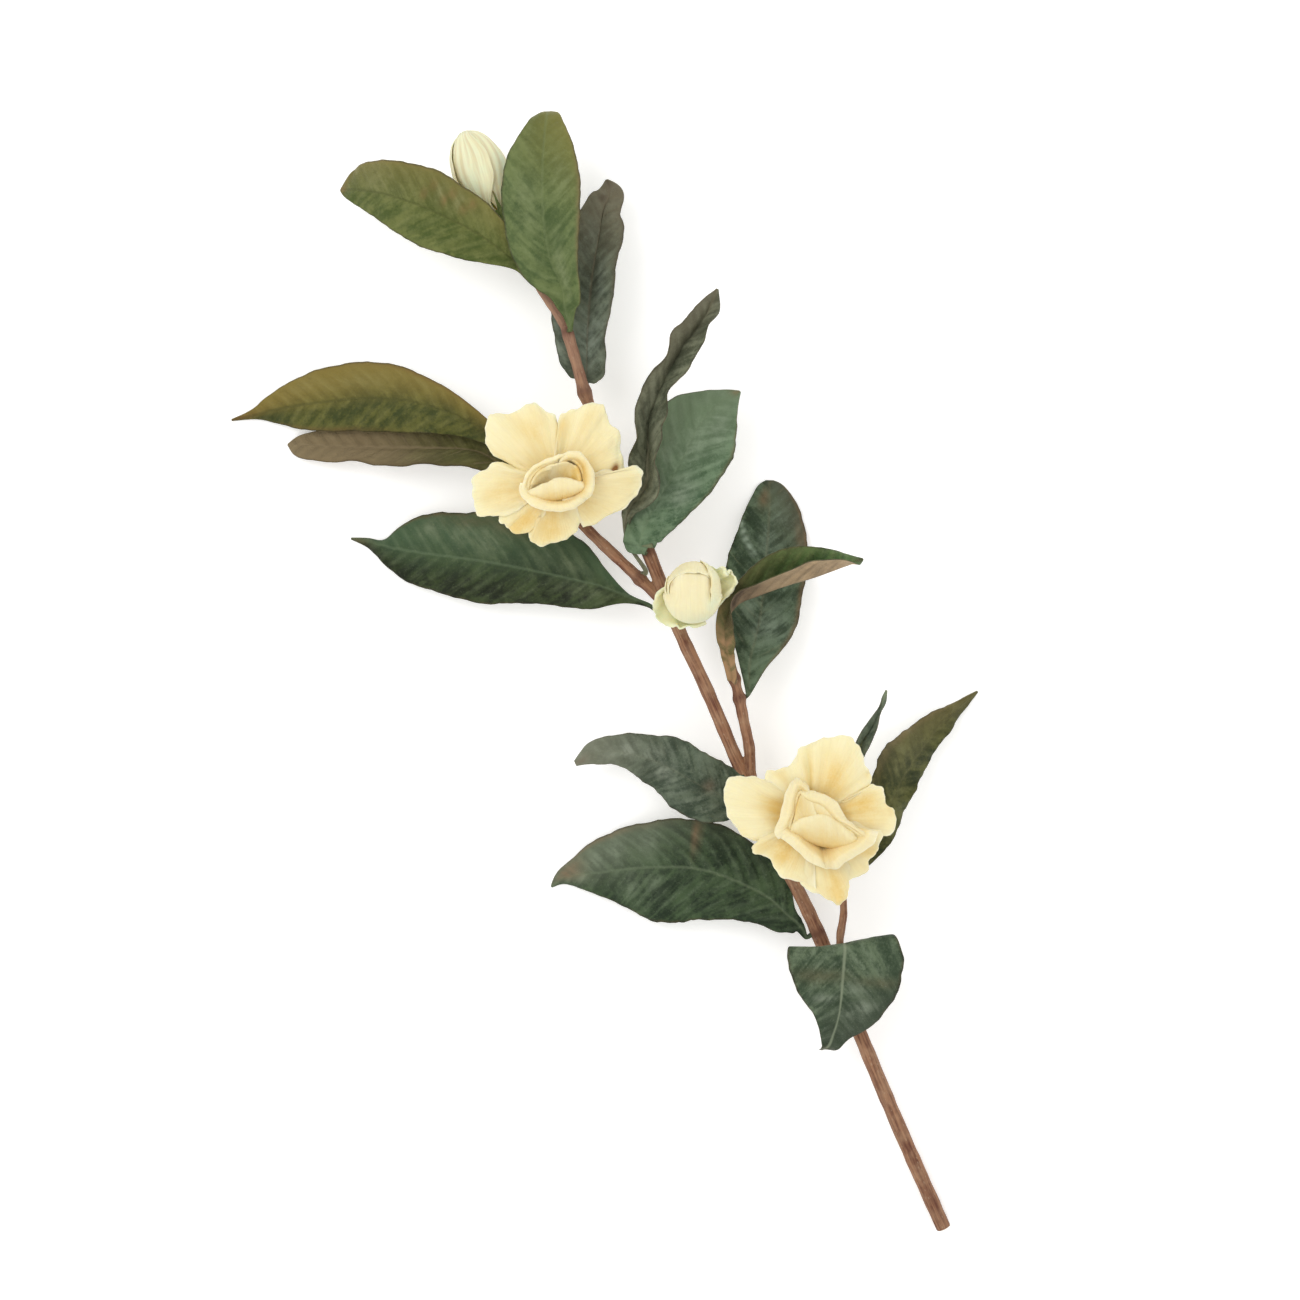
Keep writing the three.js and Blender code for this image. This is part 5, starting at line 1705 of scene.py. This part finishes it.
class GARDENIA_OT_stage(bpy.types.Operator):
    """Lay out the pale floor, the soft lights and the camera above the spray"""

    bl_idname = "gardenia.stage"
    bl_label = "Stage"

    FLOOR_SIZE = 6.0  # metres, as are the places and sizes of the lights
    FLOOR_SHADE = 0.985  # brightness of its darker places
    SKY_COLOUR = (1.0, 0.995, 0.985, 1.0)
    FILL_SHARE = 0.35  # power of the fill light beside the key light
    LENS, SENSOR = 100.0, 36.0

    def execute(self, context):
        stage = context.scene.gardenia_stage
        floor = primitive(bpy.ops.mesh.primitive_plane_add, "floor", size=self.FLOOR_SIZE)
        floor.data.materials.append(self.floor_material(stage))

        world = bpy.data.worlds.new("even_light")
        world.use_nodes = True
        background = world.node_tree.nodes["Background"]
        background.inputs["Color"].default_value = self.SKY_COLOUR
        background.inputs["Strength"].default_value = stage.sky
        context.scene.world = world

        self.light("key", (-0.9, 0.7, 1.7), 1.1, stage.key_power)
        self.light("fill", (1.1, -0.6, 1.5), 1.4, stage.key_power * self.FILL_SHARE)
        self.camera(context, stage)
        context.scene.view_settings.view_transform = "Standard"
        return {"FINISHED"}

    def floor_material(self, stage):
        """Plain matt floor, a trace darker in places."""
        material, graph = new_material("pale_floor")
        shade = (*(self.FLOOR_SHADE * c for c in stage.floor[:3]), 1.0)
        tone = graph.noise(graph.place(), scale=3.0)
        return finished(
            material, graph, Base_Color=graph.mix(tone, tuple(stage.floor), shade), Roughness=0.9,
            Specular_IOR_Level=0.1, Emission_Color=(1.0, 1.0, 1.0, 1.0),
            Emission_Strength=stage.floor_glow,
        )

    def light(self, name, place, size, power):
        """A round light that shines on the middle of the spray."""
        bpy.ops.object.light_add(type="AREA", location=place)
        light = bpy.context.active_object
        light.name = light.data.name = name
        light.data.shape = "DISK"
        light.data.size = size
        light.data.energy = power
        light.rotation_euler = (-Vector(place)).to_track_quat("-Z", "Y").to_euler()

    def camera(self, context, stage):
        """Straight down on the spray, as wide as the picture at the height of its leaves."""
        x, y, z = to_frame((*VIEW_CENTRE, VIEW_LEVEL))
        away = stage.view_width * self.LENS / self.SENSOR
        bpy.ops.object.camera_add(location=(x, y, z + away))
        camera = context.active_object
        camera.name = camera.data.name = "camera"
        camera.rotation_euler = (0.0, 0.0, 0.0)
        camera.data.lens, camera.data.sensor_width = self.LENS, self.SENSOR
        camera.data.clip_start, camera.data.clip_end = 0.05, 50.0
        context.scene.camera = camera


class GARDENIA_OT_stem(bpy.types.Operator):
    """Grow the woody stem with its forks as one piece"""

    bl_idname = "gardenia.stem"
    bl_label = "Woody Stem"

    SIDES = 24
    RINGS_PER_MM = 0.9
    BARK = 0.3  # how far the bark stands over the wood
    SWELLINGS = ((0.1, 0.31), (0.08, 0.73))  # mm of height, radians for each mm along
    LOBING = 0.03  # how far a stalk is from round, as a share of its radius
    KNOT = 0.75  # height of the swelling under a leaf
    KNOT_REACH = 2.2
    KNOT_DROP = 1.0  # how far below the leaf it lies
    DARK_REACH = 3.0  # reach of the dark bark round a knot
    FORK_REACH = 9.0  # and from a fork
    CUT_DEPTH = 0.5  # bare wood at the cut end
    CUT_RIM = (0.25, 0.6)  # how far in from the skin it begins and is bare all over
    YOUNG = (110, 180)  # the bark turns paler from the first of these y to the second
    GRAIN_APART = 37.0  # so that no two stalks have the same grain
    COARSE = 8  # every eighth point of a path is tried first

    def execute(self, context):
        stem = context.scene.gardenia_stem
        wood = join([self.stalk(i, rows) for i, rows in enumerate(STALKS)])
        wood.name = wood.data.name = "woody_stem_detail"
        apply(wood, "REMESH", mode="VOXEL", voxel_size=stem.voxel)
        apply(wood, "SMOOTH", factor=0.5, iterations=4)
        self.map_grain(wood)
        wood.data.materials.clear()
        wood.data.materials.append(bark_material(stem))
        settle(wood, "woody_stem")
        return {"FINISHED"}

    def sides(self, along):
        """The ways that are sideways and up for a stalk that runs along."""
        side = unit(np.array([1.0, 0, 0]) - along * along[:, :1])
        return side, np.cross(side, along)

    def knots(self, rows):
        """Distances along a stalk at which it carries a leaf."""
        steps, run = along_path(rows)
        heights = blend(rows, steps)[:, 1]
        here = [leaf.y for leaf in LEAVES.values() if leaf.stalk is rows]
        return [float(run[int(np.argmax(heights >= y))]) for y in here]

    def stalk(self, index, rows):
        """A round rod from the primitive cylinder, bent along its rows."""
        steps, run = along_path(rows)
        rod = primitive(
            bpy.ops.mesh.primitive_cylinder_add, f"stalk_{index}", vertices=self.SIDES,
            radius=1, depth=1, end_fill_type="TRIFAN",
        )
        bpy.ops.object.mode_set(mode="EDIT")
        bpy.ops.mesh.select_all(action="DESELECT")
        bpy.ops.object.mode_set(mode="OBJECT")
        for edge in rod.data.edges:
            low, high = (rod.data.vertices[i].co.z for i in edge.vertices)
            edge.select = abs(high - low) > 0.5
        bpy.ops.object.mode_set(mode="EDIT")
        bpy.ops.mesh.select_mode(type="EDGE")
        bpy.ops.mesh.subdivide(number_cuts=int(run[-1] * self.RINGS_PER_MM))
        bpy.ops.object.mode_set(mode="OBJECT")

        places = read_places(rod)
        u = np.interp((places[:, 2] + 0.5) * run[-1], run, steps)
        s = np.interp(u, steps, run)
        point, along = path_point(rows, u)
        side, up = self.sides(along)
        turns = dice(f"stalk_{index}").uniform(0, 2 * math.pi, 6)
        radius = blend(rows, u)[:, 3] + self.BARK
        for (height, pace), turn in zip(self.SWELLINGS, turns):
            radius = radius + height * np.sin(s * pace + turn)
        for knot in self.knots(rows):
            near = (s - knot + self.KNOT_DROP) / self.KNOT_REACH
            radius = radius + self.KNOT * np.exp(-(near**2))
        angle = np.arctan2(places[:, 1], places[:, 0])
        radius = radius * (1 + self.LOBING * np.sin(3 * angle + s * 0.05 + turns[2]))
        sideways, upward = places[:, 0] * radius, -places[:, 1] * radius
        bent = point + side * sideways[:, None] + up * upward[:, None]
        set_places(rod, to_frame(bent))
        return rod

    def map_grain(self, wood):
        """Gives each vertex its place in the straightened stalk that it lies on."""
        places = read_places(wood) / MM - TO_CENTRE
        best = np.full(len(places), np.inf)
        grain, tint = np.zeros((len(places), 3)), np.zeros((len(places), 3))
        for index, rows in enumerate(STALKS):
            steps, run = along_path(rows, 1600)
            points, runs = path_point(rows, steps)
            radii = blend(rows, steps)[:, 3]
            nearest, off = self.closest(places, points)
            s, from_middle = run[nearest], np.linalg.norm(off, axis=1)
            distance = from_middle - radii[nearest]
            mine = distance < best
            best = np.where(mine, distance, best)
            side, up = self.sides(runs[nearest])
            local = np.stack(
                [(off * side).sum(1), (off * up).sum(1), s + self.GRAIN_APART * index], axis=1
            )
            dark = 0.7 * np.exp(-((s / self.FORK_REACH) ** 2)) * (index > 0)
            for knot in self.knots(rows):
                dark = np.maximum(dark, np.exp(-(((s - knot) / self.DARK_REACH) ** 2)))
            start = smooth(s, self.CUT_DEPTH, 0.05) * (index == 0)
            inner = smooth(from_middle, *(radii[0] - rim for rim in self.CUT_RIM))
            young = smooth(points[nearest][:, 1], *self.YOUNG)
            marks_here = np.stack([dark, start * inner, young], axis=1)
            grain = np.where(mine[:, None], local * MM, grain)
            tint = np.where(mine[:, None], marks_here, tint)
        set_attribute(wood, "grain", grain)
        set_attribute(wood, "tint", tint)

    def closest(self, places, points, batch=4000):
        """The nearest point of a path for each place, and the step from it."""
        found = np.empty(len(places), int)
        around = np.arange(-self.COARSE, self.COARSE + 1)
        for first in range(0, len(places), batch):
            some = places[first : first + batch]
            gaps = ((some[:, None, :] - points[None, :: self.COARSE, :]) ** 2).sum(2)
            rough = gaps.argmin(1) * self.COARSE
            window = np.clip(rough[:, None] + around, 0, len(points) - 1)
            near = ((some[:, None, :] - points[window]) ** 2).sum(2).argmin(1)
            found[first : first + batch] = window[np.arange(len(some)), near]
        return found, places - points[found]


class GARDENIA_OT_leaves(bpy.types.Operator):
    """Grow the leaves, each with its stalk, veins and wavy margin"""

    bl_idname = "gardenia.leaves"
    bl_label = "Leaves"

    def execute(self, context):
        settings = context.scene.gardenia_leaf
        spacing = settings.vein_spacing
        for name, leaf in LEAVES.items():
            sheet, u, v = sheet_grid(f"{name}_detail", LEAF_CELLS)
            points, thickness, vectors = leaf_points(name, leaf, u, v, settings)
            set_places(sheet, to_frame(points))
            for label, vector in vectors.items():
                set_attribute(sheet, label, vector)
            upper = blade_material(f"{name}_upper", leaf, spacing)
            under = blade_material(f"{name}_underside", leaf, spacing, underside=True)
            for material in (under, upper) if leaf.underside_up else (upper, under):
                sheet.data.materials.append(material)
            thicken(sheet, thickness)
            settle(sheet, name)
        return {"FINISHED"}


def grow_petals(context, flower):
    """The petals of one flower or bud, one piece for each."""
    petals = context.scene.gardenia_petal
    bloom, whorls = FLOWERS[flower]
    turn = facing(bloom) if flower == "closed_bud" else np.eye(3)
    for label, look, rows in whorls:
        seed = zlib.crc32(label.encode()) % STREAK_SEEDS
        material = petal_material(f"{flower}_{label}", look, petals, seed)
        for i, petal in enumerate(rows):
            net = petal.net()
            node = f"{flower}_{label}_{i + 1}" if len(rows) > 1 else f"{flower}_{label}"
            sheet, u, v = sheet_grid(f"{node}_detail", PETAL_CELLS)
            points = over_net(net, ragged_edge(node, look, net, u, v), v)
            points = under_view(points @ turn.T + np.array(bloom.at))
            set_places(sheet, to_frame(points))
            move, edge = crease(node, look, net, u, v)
            move = move - marks(petal.dents, u, v)
            normals = read_places(sheet, "normal")
            set_places(sheet, read_places(sheet) + normals * move[:, None] * MM)
            _, width = petal_length(net)
            # Ochre marks: partly painted shade in valleys and bowls.
            ochre_and_shade = marks(petal.ochre_and_shade, u, v)
            blush = np.maximum(marks(petal.blush, u, v), look.green * smooth(u, 0.3, 0.9))
            # Brown marks: dried spots, and in places painted shade.
            tint = np.stack([edge, blush, marks(petal.brown_and_shade, u, v)], axis=1)
            set_attribute(sheet, "petal", np.stack([u, v * width * MM / 2, ochre_and_shade], axis=1))
            set_attribute(sheet, "tint", tint)
            sheet.data.materials.append(material)
            thicken(sheet, petals.thickness / MM * (1 - 0.5 * edge))
            settle(sheet, node)


class GARDENIA_OT_middle_flower(bpy.types.Operator):
    """Grow the petals of the middle flower"""

    bl_idname = "gardenia.middle_flower"
    bl_label = "Middle Flower"

    def execute(self, context):
        grow_petals(context, "middle_flower")
        return {"FINISHED"}


class GARDENIA_OT_lower_flower(bpy.types.Operator):
    """Grow the petals of the lower flower"""

    bl_idname = "gardenia.lower_flower"
    bl_label = "Lower Flower"

    def execute(self, context):
        grow_petals(context, "lower_flower")
        return {"FINISHED"}


class GARDENIA_OT_half_open_bud(bpy.types.Operator):
    """Grow the petals and lobes of the half-open bud"""

    bl_idname = "gardenia.half_open_bud"
    bl_label = "Half-Open Bud"

    def execute(self, context):
        grow_petals(context, "half_open_bud")
        return {"FINISHED"}


class GARDENIA_OT_closed_bud(bpy.types.Operator):
    """Grow the wrapped petals of the closed bud"""

    bl_idname = "gardenia.closed_bud"
    bl_label = "Closed Bud"

    def execute(self, context):
        grow_petals(context, "closed_bud")
        return {"FINISHED"}


class GARDENIA_OT_calyces(bpy.types.Operator):
    """Grow the ribbed calyx with its narrow lobes under each flower and bud"""

    bl_idname = "gardenia.calyces"
    bl_label = "Calyces"

    RIBS = 6
    RIB_HEIGHT = 0.09  # share of the cup's radius that a rib adds
    SIDES = 72

    # Radius and height of the cup from its foot to its rim and down inside it.
    OPEN_CUP = [
        (2.2, -12), (3.2, -11.2), (3.5, -8), (4.1, -4), (5.7, -0.9), (5.2, -0.5), (3.6, -0.6),
        (2.4, 1),
    ]
    BUD_CUP = [
        (1.8, -8), (2.6, -7.4), (3.1, -4.5), (4.4, -1.4), (4.7, -0.6), (4.2, -0.3), (2.4, -0.5),
        (1.4, 0),
    ]
    # Each calyx's cup, the length of its lobes and how far they lean out, from 0 to 1.
    CALYCES = {
        "middle_flower": (OPEN_CUP, 15.0, 0.9),
        "lower_flower": (OPEN_CUP, 15.0, 0.9),
        "half_open_bud": (BUD_CUP, 11.0, 0.75),
        "closed_bud": (BUD_CUP, 13.0, 0.5),
    }
    LOBE_CELLS = (16, 6)
    LOBE_HALF_WIDTH = 1.25
    LOBE_TAPER = 0.85  # share of its width that it loses towards its tip
    LOBE_BASE = 0.75  # width at its foot, as a share of the full width
    LOBE_INSET, LOBE_DROP = 0.9, 0.7  # how far inside and below the rim it starts
    LOBE_TROUGH = 0.35  # how far its side edges stand up
    LOBE_THICKNESS = 0.45

    def execute(self, context):
        material = calyx_material()
        for flower, (cup, reach, spread) in self.CALYCES.items():
            bloom = FLOWERS[flower][0]
            shape = self.cup(f"{flower}_calyx_detail", cup)
            join([shape, *(self.lobe(i, cup, reach, spread) for i in range(self.RIBS))])
            places = read_places(shape)
            set_places(shape, to_frame(places @ facing(bloom).T + np.array(bloom.at)))
            shape.data.materials.append(material)
            settle(shape, f"{flower}_calyx")
        return {"FINISHED"}

    def cup(self, name, profile):
        """A disc, extruded and widened ring by ring, with ribs raised on it."""
        radius, height = profile[0]
        cup = primitive(
            bpy.ops.mesh.primitive_circle_add, name, vertices=self.SIDES, radius=radius,
            fill_type="NGON", location=(0, 0, height),
        )
        bpy.ops.object.transform_apply(location=True, rotation=True, scale=True)
        bpy.ops.object.mode_set(mode="EDIT")
        bpy.ops.mesh.select_all(action="SELECT")
        for (wide, low), (next_wide, next_low) in zip(profile, profile[1:]):
            bpy.ops.mesh.extrude_region_move(
                TRANSFORM_OT_translate={"value": (0, 0, next_low - low)}
            )
            scale = next_wide / wide
            bpy.ops.transform.resize(value=(scale, scale, 1), center_override=(0, 0, 0))
        bpy.ops.mesh.select_all(action="SELECT")
        bpy.ops.mesh.normals_make_consistent(inside=False)
        bpy.ops.object.mode_set(mode="OBJECT")
        places = read_places(cup)
        around = np.arctan2(places[:, 1], places[:, 0])
        outer = smooth(places[:, 2], profile[1][1] - 0.5, profile[2][1])
        rib = np.cos(around * self.RIBS / 2) ** 8
        far = np.hypot(places[:, 0], places[:, 1])
        grown = 1 + self.RIB_HEIGHT * rib * outer * smooth(far, 2.0, 3.0)
        places[:, :2] *= grown[:, None]
        set_places(cup, places)
        set_attribute(cup, "tint", np.stack([rib, 0 * rib, 0 * rib], axis=1))
        return cup

    def lobe(self, index, profile, reach, spread):
        """A long narrow lobe that leaves the cup's rim beside a rib and follows the petals."""
        lobe, u, v = sheet_grid(f"lobe_{index}", self.LOBE_CELLS)
        radius, height = max(profile)
        turn = 2 * math.pi * index / self.RIBS
        width = self.LOBE_HALF_WIDTH * (1 - self.LOBE_TAPER * u)
        belly = np.sin(math.pi * np.minimum(u * 2, 1))
        width = width * (self.LOBE_BASE + (1 - self.LOBE_BASE) * belly)
        out = radius - self.LOBE_INSET + reach * spread * u
        rise = height - self.LOBE_DROP + reach * (1 - spread) * 1.3 * u**1.4
        rise = rise + self.LOBE_TROUGH * v**2
        points = np.stack([out, v * width, rise], axis=1)
        cos, sin = math.cos(turn), math.sin(turn)
        spin = np.array([[cos, -sin, 0], [sin, cos, 0], [0, 0, 1]])
        set_places(lobe, points @ spin.T)
        tint = np.stack([0.4 * (1 - np.abs(v)), smooth(u, 0.7, 1), 0 * u], axis=1)
        set_attribute(lobe, "tint", tint)
        apply(lobe, "SOLIDIFY", thickness=self.LOBE_THICKNESS, offset=0.0)
        return lobe


OPERATORS = (
    GARDENIA_OT_stem,
    GARDENIA_OT_leaves,
    GARDENIA_OT_middle_flower,
    GARDENIA_OT_lower_flower,
    GARDENIA_OT_half_open_bud,
    GARDENIA_OT_closed_bud,
    GARDENIA_OT_calyces,
    GARDENIA_OT_stage,
)
SETTINGS = {
    "gardenia_leaf": LeafSettings,
    "gardenia_petal": PetalSettings,
    "gardenia_stem": StemSettings,
    "gardenia_stage": StageSettings,
}


class GARDENIA_PT_spray(bpy.types.Panel):
    """Settings and steps of the spray"""

    bl_idname = "GARDENIA_PT_spray"
    bl_label = "Gardenia Spray"
    bl_space_type = "VIEW_3D"
    bl_region_type = "UI"
    bl_category = "Gardenia"

    def draw(self, context):
        for key, group in SETTINGS.items():
            box = self.layout.box()
            for name in group.__annotations__:
                box.prop(getattr(context.scene, key), name)
        for operator in OPERATORS:
            self.layout.operator(operator.bl_idname)


def register():
    for group in SETTINGS.values():
        bpy.utils.register_class(group)
    for key, group in SETTINGS.items():
        setattr(bpy.types.Scene, key, bpy.props.PointerProperty(type=group))
    for operator in OPERATORS:
        bpy.utils.register_class(operator)
    bpy.utils.register_class(GARDENIA_PT_spray)


def unregister():
    bpy.utils.unregister_class(GARDENIA_PT_spray)
    for operator in reversed(OPERATORS):
        bpy.utils.unregister_class(operator)
    for key, group in SETTINGS.items():
        delattr(bpy.types.Scene, key)
        bpy.utils.unregister_class(group)


def main():
    register()
    bpy.ops.gardenia.stem()
    bpy.ops.gardenia.leaves()
    bpy.ops.gardenia.middle_flower()
    bpy.ops.gardenia.lower_flower()
    bpy.ops.gardenia.half_open_bud()
    bpy.ops.gardenia.closed_bud()
    bpy.ops.gardenia.calyces()
    bpy.ops.gardenia.stage()


if __name__ == "__main__":
    main()
